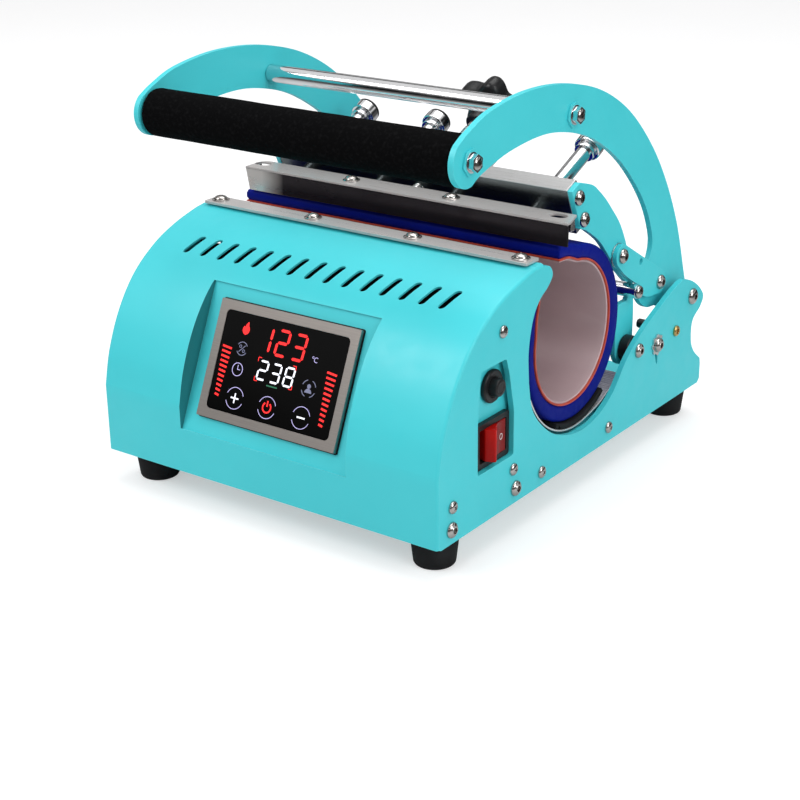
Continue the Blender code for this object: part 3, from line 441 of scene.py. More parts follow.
def pale_floor():
    look = Look("pale_floor", (0.62, 0.62, 0.625), 0.6)
    look.set("Specular IOR Level", 0.1)
    look.rough(look.noise(3.0, 4.0), 0.5, 0.62)
    # Painted shade: seen in reflections, the floor turns dark from 0.3 m to 0.7 m out from the machine.
    rays = look.node("ShaderNodeLightPath").outputs
    ground = look.node("ShaderNodeVectorMath", operation="LENGTH")
    look.link(look.coordinates(), ground.inputs[0])
    far = look.node("ShaderNodeMath", operation="MULTIPLY")
    look.link(look.ramp(ground.outputs["Value"], 0.0, 1.0, 0.30, 0.70), far.inputs[0])
    look.link(rays["Is Glossy Ray"], far.inputs[1])
    look.tint(far.outputs[0], (0.05, 0.05, 0.05), 0.0, 1.0)
    look.set("Emission Color", (1.0, 1.0, 1.0, 1.0))
    seen = rays["Is Camera Ray"]
    look.link(look.ramp(seen, 0.0, 0.46, 0.0, 1.0), look.shader.inputs["Emission Strength"])
    return look.bump(look.noise(60.0, 3.0), 0.02, 0.2).material


PAINT = powder_coat("turquoise_powder_coat", 1.0)
SHADED_PAINT = powder_coat("turquoise_in_shade", 0.30)
STEEL = brushed("brushed_steel_strip", (0.72, 0.69, 0.68), metallic=0.5)
STEEL_SLANT = brushed("brushed_bezel", (0.42, 0.385, 0.36), 0.38)
STEEL_BAR = crossbar_steel()
STEEL_TRAY = brushed("polished_tray", (0.72, 0.72, 0.74), 0.22, 0.55)
CHROME = chrome()
NICKEL = nickel()
TURNED = turned_steel()
STEEL_PAINTED_REFLECTION = painted_reflection_steel()
BLACK = moulded("black_moulding", (0.012, 0.012, 0.013), 0.38)
KNOB_BLACK = moulded("black_knob", (0.010, 0.010, 0.011), 0.30)
RUBBER = rubber()
FOAM = foam()
BLUE = silicone_cloth()
LINER = liner()
EDGE = lining_edge()
PANEL = display_panel()
RED_LIGHT = lit("red_segments", (0.80, 0.010, 0.010), 0.85)
WHITE_LIGHT = lit("white_segments", (0.72, 0.74, 0.80), 0.9)
DIM_LIGHT = lit("dim_icons", (0.14, 0.15, 0.24), 0.5)
GREEN_LIGHT = lit("green_mark", (0.01, 0.12, 0.06), 0.4)
LILAC_LIGHT = lit("lilac_icon", (0.42, 0.38, 0.68), 0.6)
RED_PLASTIC = red_translucent()
WHITE_PRINT = moulded("white_print", (0.75, 0.72, 0.72), 0.5)
BRASS = brass()
BOARD = circuit_board()
FLOOR = pale_floor()


SLOTS = {
    "turquoise_paint": (PAINT,),
    "stainless": (STEEL, STEEL_SLANT, STEEL_BAR, STEEL_TRAY, TURNED, STEEL_PAINTED_REFLECTION),
    "chrome": (CHROME,),
    "black_plastic": (BLACK, KNOB_BLACK),
    "black_rubber": (RUBBER,),
    "black_foam": (FOAM,),
    "dark_glass": (PANEL, RED_LIGHT, WHITE_LIGHT, DIM_LIGHT, GREEN_LIGHT, LILAC_LIGHT),
    "red_plastic": (RED_PLASTIC, WHITE_PRINT),
    "brass": (BRASS,),
}
SLOT_OF = {paint.name: slot for slot, paints in SLOTS.items() for paint in paints}


# ---------------------------------------------------------------- meshes
def piece(name, bm, paint, body=None, bevel=0.0, **options):
    """Makes an object from a mesh drawn in the frame, and finishes it if a body is given."""
    bmesh.ops.remove_doubles(bm, verts=bm.verts, dist=1e-7)
    bmesh.ops.recalc_face_normals(bm, faces=bm.faces)
    mesh = bpy.data.meshes.new(name)
    bm.to_mesh(mesh)
    bm.free()
    mesh.materials.append(paint)
    made = add_object(name, mesh)
    if body:
        dress(made, body, bevel, **options)
    return made


def add_object(name, data):
    made = bpy.data.objects.new(name, data)
    bpy.context.scene.collection.objects.link(made)
    return made


def shade(mesh, sharp):
    mesh.shade_smooth()
    mesh.set_sharp_from_angle(angle=math.radians(sharp))


def dress(made, body, bevel=0.0, sharp=30.0, segments=2, node=None, slot=None):
    """Shades a piece, rounds its edges by the bevel in mm and rides it on its body.

    The slot argument is not used."""
    shade(made.data, sharp)
    if bevel:
        rounding = made.modifiers.new("edge_rounding", "BEVEL")
        rounding.width = bevel * MM
        rounding.segments = segments
        rounding.limit_method = "ANGLE"
        rounding.angle_limit = math.radians(sharp)
        rounding.harden_normals = True
    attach(made, body)
    stand_in(made, node)
    if slot is None:
        slot = SLOT_OF[made.data.materials[0].name]


def stand_in(made, node=None):
    """A piece stands for the CAD node that is given, or for NODE if the piece is named NODE_looks."""
    node = node or made.name.removesuffix("_looks")
    if node != made.name:
        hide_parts(node)


def add_sheet(bm, outline, mapping, holes=()):
    """Sheet with holes between thickness 0 and 1 of a mapping."""
    edges = []
    for loop in (outline, *holes):
        verts = [bm.verts.new(mapping(point, 0.0)) for point in loop]
        for i, vert in enumerate(verts):
            edges.append(bm.edges.new((vert, verts[(i + 1) % len(verts)])))
    filled = bmesh.ops.triangle_fill(bm, edges=edges, use_beauty=True, use_dissolve=False)
    faces = [item for item in filled["geom"] if isinstance(item, bmesh.types.BMFace)]
    thicken(bm, faces, mapping(outline[0], 1.0) - mapping(outline[0], 0.0))
    bmesh.ops.reverse_faces(bm, faces=faces)


def thicken(bm, faces, push):
    grown = bmesh.ops.extrude_face_region(bm, geom=faces)
    moved = [item for item in grown["geom"] if isinstance(item, bmesh.types.BMVert)]
    bmesh.ops.translate(bm, verts=moved, vec=push)


def sheet(name, outline, mapping, paint, body, holes=(), bevel=0.4, **options):
    bm = bmesh.new()
    add_sheet(bm, outline, mapping, holes)
    return piece(name, bm, paint, body, bevel, **options)


def add_prism(bm, low, high):
    """Closed solid between two loops of points."""
    low, high = ([bm.verts.new(point) for point in loop] for loop in (low, high))
    join_rings(bm, low, high)
    bm.faces.new(low[::-1])
    bm.faces.new(high)


def add_turned(bm, profile, base, axis, steps=48):
    """Solid of revolution: (radius, distance) pairs in mm along an axis from (x, depth, height)."""
    direction = Vector(axis).normalized()
    turn = Vector((0.0, 0.0, 1.0)).rotation_difference(direction).to_matrix()
    start = at(*base)
    rings = []
    for radius, distance in profile:
        if radius == 0.0:
            rings.append([bm.verts.new(start + direction * distance * MM)])
            continue
        ring = []
        for i in range(steps):
            angle = 2 * math.pi * i / steps
            spoke = turn @ Vector((math.cos(angle), math.sin(angle), 0.0))
            ring.append(bm.verts.new(start + (spoke * radius + direction * distance) * MM))
        rings.append(ring)
    for low, high in zip(rings, rings[1:]):
        join_rings(bm, low, high)


def join_rings(bm, low, high):
    steps = max(len(low), len(high))
    for i in range(steps):
        k = (i + 1) % steps
        if len(low) == 1:
            bm.faces.new((low[0], high[i], high[k]))
        elif len(high) == 1:
            bm.faces.new((low[k], low[i], high[0]))
        else:
            bm.faces.new((low[i], low[k], high[k], high[i]))


def turned(name, profile, base, axis, paint, body, bevel=0.25, steps=48, **options):
    bm = bmesh.new()
    add_turned(bm, profile, base, axis, steps)
    return piece(name, bm, paint, body, bevel, **options)


def block(name, low, high, paint, body, bevel=0.5):
    size = Vector(high) - Vector(low)
    middle = (Vector(high) + Vector(low)) / 2
    place = Matrix.Translation(at(*middle)) @ Matrix.Diagonal((*(size * MM), 1.0))
    bm = bmesh.new()
    bmesh.ops.create_cube(bm, size=1.0, matrix=place)
    return piece(name, bm, paint, body, bevel)


def cut(target, cutters):
    """Boolean difference of plain objects, baked into the target's mesh; the cutters go away."""
    for cutter in cutters:
        modifier = target.modifiers.new("cut", "BOOLEAN")
        modifier.operation = "DIFFERENCE"
        modifier.solver = "EXACT"
        modifier.object = cutter
    bpy.context.view_layer.update()
    graph = bpy.context.evaluated_depsgraph_get()
    baked = bpy.data.meshes.new_from_object(target.evaluated_get(graph))
    target.modifiers.clear()
    target.data = baked
    for cutter in cutters:
        bpy.data.objects.remove(cutter, do_unlink=True)


def on_both_sides(x_low, x_high, side):
    return (x_low, x_high) if side > 0 else (-x_high, -x_low)


# ---------------------------------------------------------------- screws
def screw_mesh(name, profile, recess):
    """Screw head along +Z with a driver recess cut into its top; the head's seat is at zero."""
    bm = bmesh.new()
    rings = []
    steps = 40
    for radius, distance in profile:
        if radius == 0.0:
            rings.append([bm.verts.new((0.0, 0.0, distance * MM))])
            continue
        rings.append([bm.verts.new((radius * MM * math.cos(2 * math.pi * i / steps),
                                    radius * MM * math.sin(2 * math.pi * i / steps), distance * MM))
                      for i in range(steps)])
    for low, high in zip(rings, rings[1:]):
        join_rings(bm, low, high)
    head = piece(name + "_blank", bm, NICKEL)
    top = profile[-1][1]
    tools = []
    for index, loop in enumerate(recess["loops"]):
        tool = bmesh.new()
        ends = ((recess["taper"], top - recess["depth"]), (1.0, top + 1.0))
        add_prism(tool, *([(x * scale * MM, y * scale * MM, rise * MM) for x, y in loop]
                          for scale, rise in ends))
        tools.append(piece(f"{name}_tool_{index}", tool, NICKEL))
    cut(head, tools)
    shade(head.data, 32.0)
    mesh = head.data
    bpy.data.objects.remove(head, do_unlink=True)
    return mesh


def cross_loops(reach, width):
    half = width / 2
    bar = [(-reach, -half), (reach, -half), (reach, half), (-reach, half)]
    return [bar, [(-y, x) for x, y in bar]]


HEX_SOCKET = {"loops": [arc((0.0, 0.0), 2.3, 0, 300, 5)], "depth": 2.6, "taper": 1.0}
CROSS_RECESS = {"loops": cross_loops(2.5, 1.05), "depth": 2.2, "taper": 0.55}
SMALL_CROSS = {"loops": cross_loops(2.0, 0.9), "depth": 1.8, "taper": 0.55}


def dome(radius, height, rim=0.7, steps=7):
    """Profile of a domed head with a short straight rim."""
    curve = [(0.0, -2.0), (radius * 0.5, -2.0), (radius * 0.5, 0.0), (radius, 0.0), (radius, rim)]
    for i in range(1, steps + 1):
        angle = math.radians(90 * i / steps)
        curve.append((radius * math.cos(angle) if i < steps else 0.0, rim + (height - rim) * math.sin(angle)))
    return curve


def washer_head():
    """Pan head on its own flange."""
    return [(0.0, -2.0), (3.0, -2.0), (3.0, 0.0), (6.2, 0.0), (6.2, 0.5), (5.2, 0.9),
            *[(radius, distance + 0.4) for radius, distance in dome(4.7, 3.0, 0.6)[4:]]]


def flat_topped(profile, cut_radius):
    """Ends a domed profile in a small flat."""
    kept = [pair for pair in profile[:-1] if pair[0] > cut_radius or pair[1] <= 0.0]
    top = kept[-1][1] + 0.25
    return kept + [(cut_radius, top), (0.0, top)]


SCREWS = {
    "washer": screw_mesh("washer_head", washer_head(), CROSS_RECESS),
    "button": screw_mesh("button_head", flat_topped(dome(5.3, 3.4), 3.0), HEX_SOCKET),
    "pan": screw_mesh("pan_head", dome(4.7, 3.3, 0.9), CROSS_RECESS),
    "pivot": screw_mesh("pivot_head", flat_topped(dome(6.1, 3.9), 3.2), HEX_SOCKET),
    "small": screw_mesh("small_head", dome(4.2, 2.8, 0.8), SMALL_CROSS),
}


def screw(name, kind, x, depth, height, axis, body, spin=0.0, paint=None, node=None):
    """One screw of a kind with its seat at a point, facing along an axis."""
    made = add_object(name, SCREWS[kind])
    turn = Vector((0.0, 0.0, 1.0)).rotation_difference(Vector(axis).normalized()).to_matrix().to_4x4()
    made.matrix_world = Matrix.Translation(at(x, depth, height)) @ turn @ Matrix.Rotation(spin, 4, "Z")
    if paint:
        made.data = made.data.copy()
        made.data.materials.clear()
        made.data.materials.append(paint)
    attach(made, body)
    stand_in(made, node)


# ---------------------------------------------------------------- body
def cover_curve():
    front = [(0.0, FOOT_HEIGHT + 1.0), (0.0, 40.0), RECESS_LOW, (0.0, 64.0), (0.0, 72.0)]
    bend = smooth([(0.0, 72.0), (6.0, 96.0), (18.0, 122.0), (35.0, 144.0), (57.0, 160.0), (79.0, 169.5),
                   (101.0, 175.5)])
    return front + bend[1:] + [(109.0, 176.7), (118.0, 177.5)]


def side_plate_outline():
    front = offset(cover_curve(), -1.85)
    tip = smooth([front[-1], (126.0, 173.5), (129.5, 167.0), (124.0, 160.5), (114.0, 154.0), (106.5, 143.0),
                  (102.0, 123.0), (103.0, 101.0)])
    oval = smooth([(103.0, 101.0), (108.0, 81.0), (122.0, 64.5), (141.0, 52.0), (166.0, 45.0), (190.0, 46.5),
                   (213.0, 57.0), (233.0, 77.0), (256.0, 92.0), (291.0, 107.0)])
    ear = smooth([(291.0, 107.0), (314.0, 113.5), (334.0, 106.5), (348.5, 94.0), (345.5, 85.5), (333.5, 77.0),
                  (332.5, 62.0), (338.0, 51.5), (DEPTH - 1.0, 42.5)])
    rear = [(DEPTH, 38.0), (DEPTH, FOOT_HEIGHT + 3.0), (DEPTH - 3.0, FOOT_HEIGHT)]
    return front + tip[1:] + oval[1:] + ear[1:] + rear + [(front[0][0] + 2.0, FOOT_HEIGHT)]


BODY_BOLTS = [(15.0, 33.0), (88.0, 33.5)]
SIDE_SCREWS = [(16.0, 48.0), (85.0, 48.0), (120.0, 33.0), (71.0, 146.0), (209.0, 34.0)]
LIMIT_SCREW = (277.0, 75.0)
STOP_PIN = (306.0, 77.0)


def rounded_loop(points, radius, steps=5):
    """A closed polygon with its corners rounded."""
    loop = []
    count = len(points)
    for i, corner in enumerate(points):
        here = Vector(corner)
        before = (Vector(points[i - 1]) - here).normalized()
        after = (Vector(points[(i + 1) % count]) - here).normalized()
        start, end = here + before * radius, here + after * radius
        for k in range(steps + 1):
            t = k / steps
            loop.append(tuple(start * (1 - t) ** 2 + here * 2 * t * (1 - t) + end * t ** 2))
    return loop


def side_plates():
    for label, side in SIDES:
        holes = [circle(HANDLE_PIVOT, 4.3), circle(CLAMP_PIVOT, 4.3), circle(LIMIT_SCREW, 2.8)]
        holes += [circle(STOP_PIN, 3.8)]
        holes.append(arc((278.4, 60.5), 0.9, 180, 360, 6) + arc((277.4, 67.0), 2.0, 0, 180, 6))
        if side > 0:
            holes.append(rounded_loop(WINDOW, 2.2))
        span = on_both_sides(HALF_WIDTH - PLATE, HALF_WIDTH, side)
        sheet(f"side_plate_{label}_looks", side_plate_outline(), side_view(*span), PAINT, "root", holes, 0.7,
              segments=3)


def front_cover():
    """Folded sheet: a grid of the curve against X, rolled over at both ends, with the display recess."""
    curve = cover_curve()
    first = curve.index(RECESS_LOW)
    last = min(range(len(curve)), key=lambda i: (Vector(curve[i]) - Vector(RECESS_HIGH)).length)
    total = sum((Vector(b) - Vector(a)).length for a, b in zip(curve[first:last], curve[first + 1:last + 1]))
    up = (Vector(RECESS_HIGH) - Vector(RECESS_LOW)).normalized()
    inward = Vector((up.y, -up.x))
    chord = {}
    run = 0.0
    for i in range(first, last + 1):
        if i > first:
            run += (Vector(curve[i]) - Vector(curve[i - 1])).length
        floor = Vector(curve[first]).lerp(Vector(curve[last]), run / total)
        chord[i] = tuple(floor + inward * RECESS_SINK)
    fold = 2.0
    columns = []
    for angle in (90, 65, 40, 20, 0):
        columns.append((-(HALF_WIDTH - fold + fold * math.sin(math.radians(angle))),
                        fold * (1 - math.cos(math.radians(angle)))))
    columns += [(-RECESS_HALF, 0.0), (RECESS_HALF, 0.0)]
    columns += [(-x, inset) for x, inset in columns[4::-1]]
    bm = bmesh.new()
    grid = []
    for x, inset in columns:
        grid.append([bm.verts.new(at(x, *point)) for point in offset(curve, -inset)])
    middle = columns.index((-RECESS_HALF, 0.0))
    sunk = [{i: bm.verts.new(at(x, *chord[i])) for i in chord} for x in (-RECESS_HALF, RECESS_HALF)]
    for c in range(len(columns) - 1):
        for i in range(len(curve) - 1):
            if c == middle and first <= i < last:
                continue
            bm.faces.new((grid[c][i], grid[c + 1][i], grid[c + 1][i + 1], grid[c][i + 1]))
    rims = (grid[middle], grid[middle + 1])
    for i in range(first, last):
        bm.faces.new((sunk[0][i], sunk[1][i], sunk[1][i + 1], sunk[0][i + 1]))
        for rim, floor in zip(rims, sunk):
            bm.faces.new((rim[i], rim[i + 1], floor[i + 1], floor[i]))
    for i in (first, last):
        bm.faces.new((rims[0][i], rims[1][i], sunk[1][i], sunk[0][i]))
    cover = piece("front_cover_looks", bm, PAINT)
    thick = cover.modifiers.new("sheet", "SOLIDIFY")
    thick.thickness = SHEET * MM
    thick.offset = -1.0
    thick.use_even_offset = True
    cut(cover, [vent_slots()])
    cover.data.materials.append(SHADED_PAINT)
    for face in cover.data.polygons:
        sideways = abs(face.normal.x) > 0.9 and abs(abs(face.center.x) - RECESS_HALF * MM) < 2.5 * MM
        if sideways and face.center.z < RECESS_HIGH[1] * MM:
            face.material_index = 1
    dress(cover, "root", 0.45, 32.0, 2)


def vent_shade_sheet():
    """Painted shade: a dark sheet behind the cover, hidden by the side plates, that closes the view through
    the vents and stands for the shade inside.
    """
    half = HALF_WIDTH - PLATE - 0.5
    block("vent_shade_sheet", (-half, 99.4, 27.0), (half, 100.6, 152.0), BLACK, "root", 0.3)


VENT_COUNT = 15
VENT_PITCH = 15.2
VENT_LOW = (55.0, 158.0)
VENT_HIGH = (71.0, 166.5)
VENT_RADIUS = 2.6
VENT_LEAN = 0.28
VENT_REACH = 8.0


def vent_slots():
    """Row of round-ended leaning slots through the top of the cover."""
    low = Vector(VENT_LOW)
    up = (Vector(VENT_HIGH) - low).normalized()
    outward = Vector((-up.y, up.x))
    length = (Vector(VENT_HIGH) - low).length
    bm = bmesh.new()
    for index in range(VENT_COUNT):
        x_middle = (index - (VENT_COUNT - 1) / 2) * VENT_PITCH
        loop = arc((0.0, VENT_RADIUS), VENT_RADIUS, 180, 360, 10)
        loop += arc((0.0, length - VENT_RADIUS), VENT_RADIUS, 0, 180, 10)
        verts = []
        for across, rise in loop:
            point = low + up * rise - outward * VENT_REACH
            verts.append(bm.verts.new(at(x_middle + across + VENT_LEAN * (rise - length / 2), *point)))
        thicken(bm, [bm.faces.new(verts)], Vector((0.0, outward.x, outward.y)) * 2 * VENT_REACH * MM)
    return piece("vent_tool", bm, PAINT)


def feet():
    profile = [(0.0, 4.0), (4.0, 4.0), (4.4, 0.6), (5.0, 0.0), (12.0, 0.0), (13.2, 0.6), (13.8, 1.8),
               (16.2, 22.0), (15.9, 22.7), (0.0, 22.7)]
    for place, depth in (("front", 27.0), ("rear", 333.0)):
        for label, side in SIDES:
            name = f"foot_{place}_{label}"
            turned(name + "_looks", profile, (side * 119.0, depth, 0.0), (0, 0, 1), RUBBER, "root", 0.4, 64)


def side_fasteners():
    for label, side in SIDES:
        axis = (side, 0, 0)
        face = side * HALF_WIDTH
        for number, bolt in enumerate(BODY_BOLTS, 1):
            screw(f"body_bolt_{label}_{number}_looks", "button", face, *bolt, axis, "root", 0.3 * number)
        for number, place in enumerate(SIDE_SCREWS, 1):
            screw(f"side_screw_{label}_{number}", "small", face, *place, axis, "root", 0.7 * number)
        washer = on_both_sides(HALF_WIDTH + 0.05, HALF_WIDTH + 1.3, side)
        petal_washer(f"limit_washer_{label}", LIMIT_SCREW, *washer)
        screw(f"limit_screw_{label}_looks", "button", face + side * 1.3, *LIMIT_SCREW, axis, "root", 0.2)
        pin = [(0.0, 0.0), (3.0, 0.0), (3.5, 0.6), (3.5, 22.0)]
        collar = 31.0
        turned(f"stop_pin_{label}_shank", pin + [(3.5, collar - 4.0), (0.0, collar - 4.0)],
               (side * (HALF_WIDTH - collar), *STOP_PIN), axis, BLACK, "root", node=f"stop_pin_{label}")
        head = [(0.0, -4.2), (3.4, -4.2), (3.4, 0.0), (4.0, 0.0), (4.0, 1.2), (3.3, 2.1), (1.9, 2.2),
                (1.9, 0.4), (0.0, 0.4)]
        turned(f"stop_pin_{label}_head", head, (face, *STOP_PIN), axis, BRASS, "root",
               node=f"stop_pin_{label}")
        pivots(label, side)


def petal_washer(name, centre, x_low, x_high):
    """Washer with a scalloped rim."""
    outer = []
    for i in range(96):
        angle = 2 * math.pi * i / 96
        radius = 7.4 + 0.7 * math.cos(8 * angle)
        outer.append((centre[0] + radius * math.cos(angle), centre[1] + radius * math.sin(angle)))
    sheet(name, outer, side_view(x_low, x_high), TURNED, "root", [circle(centre, 2.9)], 0.25)


def pivots(label, side):
    """Pivot bolts with their washers and the black spacer bushes."""
    axis = (side, 0, 0)
    for place, centre, paint in (("handle", HANDLE_PIVOT, TURNED), ("clamp", CLAMP_PIVOT, BLACK)):
        node = f"{place}_pivot_bolt_{label}"
        screw(f"{place}_pivot_head_{label}", "pivot" if place == "handle" else "button", side * HALF_WIDTH,
              *centre, axis, "root", 0.4, node=node)
        bush = [(4.0, 0.0), (9.0, 0.0), (9.6, 0.6), (9.6, 6.8), (9.0, 7.4), (4.0, 7.4), (4.0, 0.0)]
        turned(f"{place}_bush_{label}", bush, (side * (ARM_OUTER + 0.3), *centre), axis, paint, "root", 0.2,
               64, slot="stainless", node=node)
        shank = [(0.0, 0.0), (6.2, 0.0), (7.0, 0.8), (7.0, 3.7), (4.0, 3.7), (4.0, 19.5), (0.0, 19.5)]
        turned(f"{place}_pivot_shank_{label}", shank, (side * (ARM_OUTER - PLATE - 4.0), *centre), axis,
               TURNED, "root", 0.2, node=node)


# ---------------------------------------------------------------- display
BEZEL = ((-58.0, 12.3), (58.0, 92.1))
GLASS = ((-51.5, 18.6), (51.5, 85.7))
# Top of the painted shadow rim round the bezel.
SHADOW_GAP_TOP = 0.7 - RECESS_SINK
DIGIT_GAP = 0.35
DIGIT_LEAN = 0.07


def display():
    sheet("display_bezel_looks", rounded_rectangle(*BEZEL, 0.8, 3), panel_view(-RECESS_SINK, 2.0),
          STEEL_SLANT, "root", [rounded_rectangle(*GLASS, 3.2)], 0.3)
    (left, foot), (right, head) = BEZEL
    # Painted shadow: a black rubber rim round the bezel stands for the shadow in the gap around it.
    shadow_rim = rounded_rectangle((left - 0.8, foot - 0.8), (right + 0.8, head + 0.8), 1.4, 3)
    sheet("display_gasket", shadow_rim, panel_view(-RECESS_SINK, SHADOW_GAP_TOP), RUBBER, "root",
          [rounded_rectangle((left + 2.0, foot + 2.0), (right - 2.0, head - 2.0), 0.8, 3)], 0.2)
    low = (GLASS[0][0] + 0.15, GLASS[0][1] + 0.15)
    high = (GLASS[1][0] - 0.15, GLASS[1][1] - 0.15)
    sheet("display_glass_looks", rounded_rectangle(low, high, 3.1), panel_view(0.2, 1.7), PANEL, "root", (),
          0.15)
    graphics = {key: bmesh.new() for key in ("red", "white", "dim", "green", "lilac")}
    for number, digit in enumerate("123"):
        add_digit(graphics["red"], digit, 0.356 + 0.137 * number, 0.207, 10.4, 18.2, 1.9)
    for number, digit in enumerate("238"):
        add_digit(graphics["white"], digit, 0.386 + 0.107 * number, 0.507, 8.2, 13.4, 1.35)
    brackets(graphics["red"])
    bars(graphics["red"])
    icons(graphics)
    for paint, key in ((RED_LIGHT, "red"), (WHITE_LIGHT, "white"), (DIM_LIGHT, "dim"), (GREEN_LIGHT, "green"),
                       (LILAC_LIGHT, "lilac")):
        piece(f"display_{key}_marks", graphics[key], paint, "root")


MARKS = panel_view(1.66, 1.78)


def spot(a, b):
    """Display position from shares of the glass, left to right and top to bottom."""
    (left, foot), (right, head) = GLASS
    return Vector((left + a * (right - left), head - b * (head - foot)))


def add_mark(bm, loop):
    add_prism(bm, *([MARKS(point, t) for point in loop] for t in (0.0, 1.0)))


def add_stroke(bm, path, width):
    add_mark(bm, band([tuple(p) for p in path], width / 2, -width / 2))


SEGMENTS = {"1": "bc", "2": "abged", "3": "abgcd", "8": "abcdefg"}


def add_digit(bm, digit, a, b, width, height, thick):
    """Seven-segment digit leaning slightly to the right."""
    centre = spot(a, b)
    w, h, t = width / 2 - thick / 2, height / 2 - thick / 2, thick / 2
    ends = {"a": ((-w, h), (w, h)), "g": ((-w, 0.0), (w, 0.0)), "d": ((-w, -h), (w, -h)),
            "b": ((w, 0.0), (w, h)), "c": ((w, -h), (w, 0.0)), "f": ((-w, 0.0), (-w, h)),
            "e": ((-w, -h), (-w, 0.0))}
    for key in SEGMENTS[digit]:
        start, end = (Vector(p) for p in ends[key])
        along = (end - start).normalized()
        side = Vector((-along.y, along.x)) * t
        a_end, b_end = start + along * DIGIT_GAP, end - along * DIGIT_GAP
        loop = [a_end, a_end + along * t - side, b_end - along * t - side, b_end, b_end - along * t + side,
                a_end + along * t + side]
        add_mark(bm, [(centre.x + p.x + DIGIT_LEAN * p.y, centre.y + p.y) for p in loop])


def brackets(bm):
    """Corner marks round the white digits."""
    arm = 2.6
    for a, b, dx, dy in ((0.334, 0.389, 1, -1), (0.640, 0.389, -1, -1), (0.334, 0.618, 1, 1),
                         (0.640, 0.618, -1, 1)):
        corner = spot(a, b)
        for start, end in (((0, 0), (arm * dx, 0)), ((0, 0), (0, arm * dy))):
            add_stroke(bm, [corner + Vector(start), corner + Vector(end)], 0.55)


def bars(bm):
    """Stepped bar graph down each side of the display."""
    for centre, (top, bottom) in ((0.064, (0.371, 0.850)), (0.919, (0.375, 0.874))):
        for i in range(11):
            b = top + (bottom - top) * i / 10
            half = 4.0 - 2.3 * i / 10
            middle = spot(centre, b)
            add_stroke(bm, [middle + Vector((-half, 0.55)), middle + Vector((half, -0.25))], 1.4)


def ring_stroke(bm, centre, radius, start, end, width=0.5):
    add_stroke(bm, arc(tuple(centre), radius, start, end, 24), width)


def icons(graphics):
    red, white, dim, green, lilac = (graphics[key] for key in ("red", "white", "dim", "green", "lilac"))
    plus, power, minus = spot(0.215, 0.840), spot(0.483, 0.845), spot(0.760, 0.852)
    for centre in (plus, power, minus):
        ring_stroke(lilac, centre, 7.2, 20, 160, 0.4)
        ring_stroke(lilac, centre, 7.2, 200, 340, 0.4)
    add_stroke(white, [plus - Vector((3.3, 0)), plus + Vector((3.3, 0))], 1.0)
    add_stroke(white, [plus - Vector((0, 3.3)), plus - Vector((0, 0.5))], 1.0)
    add_stroke(white, [plus + Vector((0, 0.5)), plus + Vector((0, 3.3))], 1.0)
    add_stroke(white, [minus - Vector((3.3, 0)), minus + Vector((3.3, 0))], 1.0)
    ring_stroke(red, power, 3.3, 125, 415, 1.1)
    add_stroke(red, [power + Vector((0, 0.6)), power + Vector((0, 4.4))], 1.1)
    clock = spot(0.185, 0.559)
    ring_stroke(lilac, clock, 4.3, 0, 359.9, 0.45)
    add_stroke(lilac, [clock, clock + Vector((0, 3.0))], 0.45)
    add_stroke(lilac, [clock, clock + Vector((2.2, 0))], 0.45)
    fan = spot(0.185, 0.351)
    ring_stroke(dim, fan, 4.4, 30, 150)
    ring_stroke(dim, fan, 4.4, 210, 330)
    add_stroke(dim, [fan + Vector((-2.4, -2.4)), fan + Vector((2.4, 2.4))], 0.5)
    for dx, dy in ((-1.6, 1.4), (1.6, -1.4)):
        ring_stroke(dim, fan + Vector((dx, dy)), 0.9, 0, 359.9, 0.4)
    person = spot(0.769, 0.563)
    for start in (20, 110, 200, 290):
        ring_stroke(dim, person, 5.6, start, start + 50)
    add_mark(dim, arc(tuple(person + Vector((0, 1.4))), 1.5, 0, 345, 16))
    add_mark(dim, arc(tuple(person + Vector((0, -2.9))), 2.8, 0, 180, 12))
    add_flame(red, spot(0.183, 0.151))
    mark = spot(0.770, 0.283)
    ring_stroke(lilac, mark + Vector((-1.9, 1.3)), 0.6, 0, 359.9, 0.3)
    ring_stroke(lilac, mark + Vector((0.9, 0.0)), 1.6, 50, 310, 0.4)
    middle = spot(0.484, 0.638)
    add_stroke(green, [middle + Vector((-4.5, 0)), middle + Vector((4.5, 0))], 0.9)


def add_flame(bm, centre):
    outline = smooth([(0.0, -4.2), (2.4, -2.6), (2.9, 0.0), (1.9, 2.0), (1.2, 4.6), (-0.6, 2.6), (-0.8, 1.0),
                      (-1.9, 1.6), (-2.8, -0.6), (-2.0, -3.0), (0.0, -4.2)], 5)[:-1]
    add_mark(bm, [(centre.x + x, centre.y + y) for x, y in outline])


# ---------------------------------------------------------------- switch, breaker and inlet
ROCKER_TILT = math.radians(17.0)
ROCKER_HALF_HEIGHT = 11.0
ROCKER_REACH = 9.5
MARK_SUNK = -0.05
MARK_PROUD = 0.06
SWITCH_LOW = (46.5, 58.7)
SWITCH_HIGH = (84.5, 89.0)
BREAKER_CENTRE = (67.5, 110.0)
BREAKER_FACE = 136.6
BRACKET_FACE = 133.3


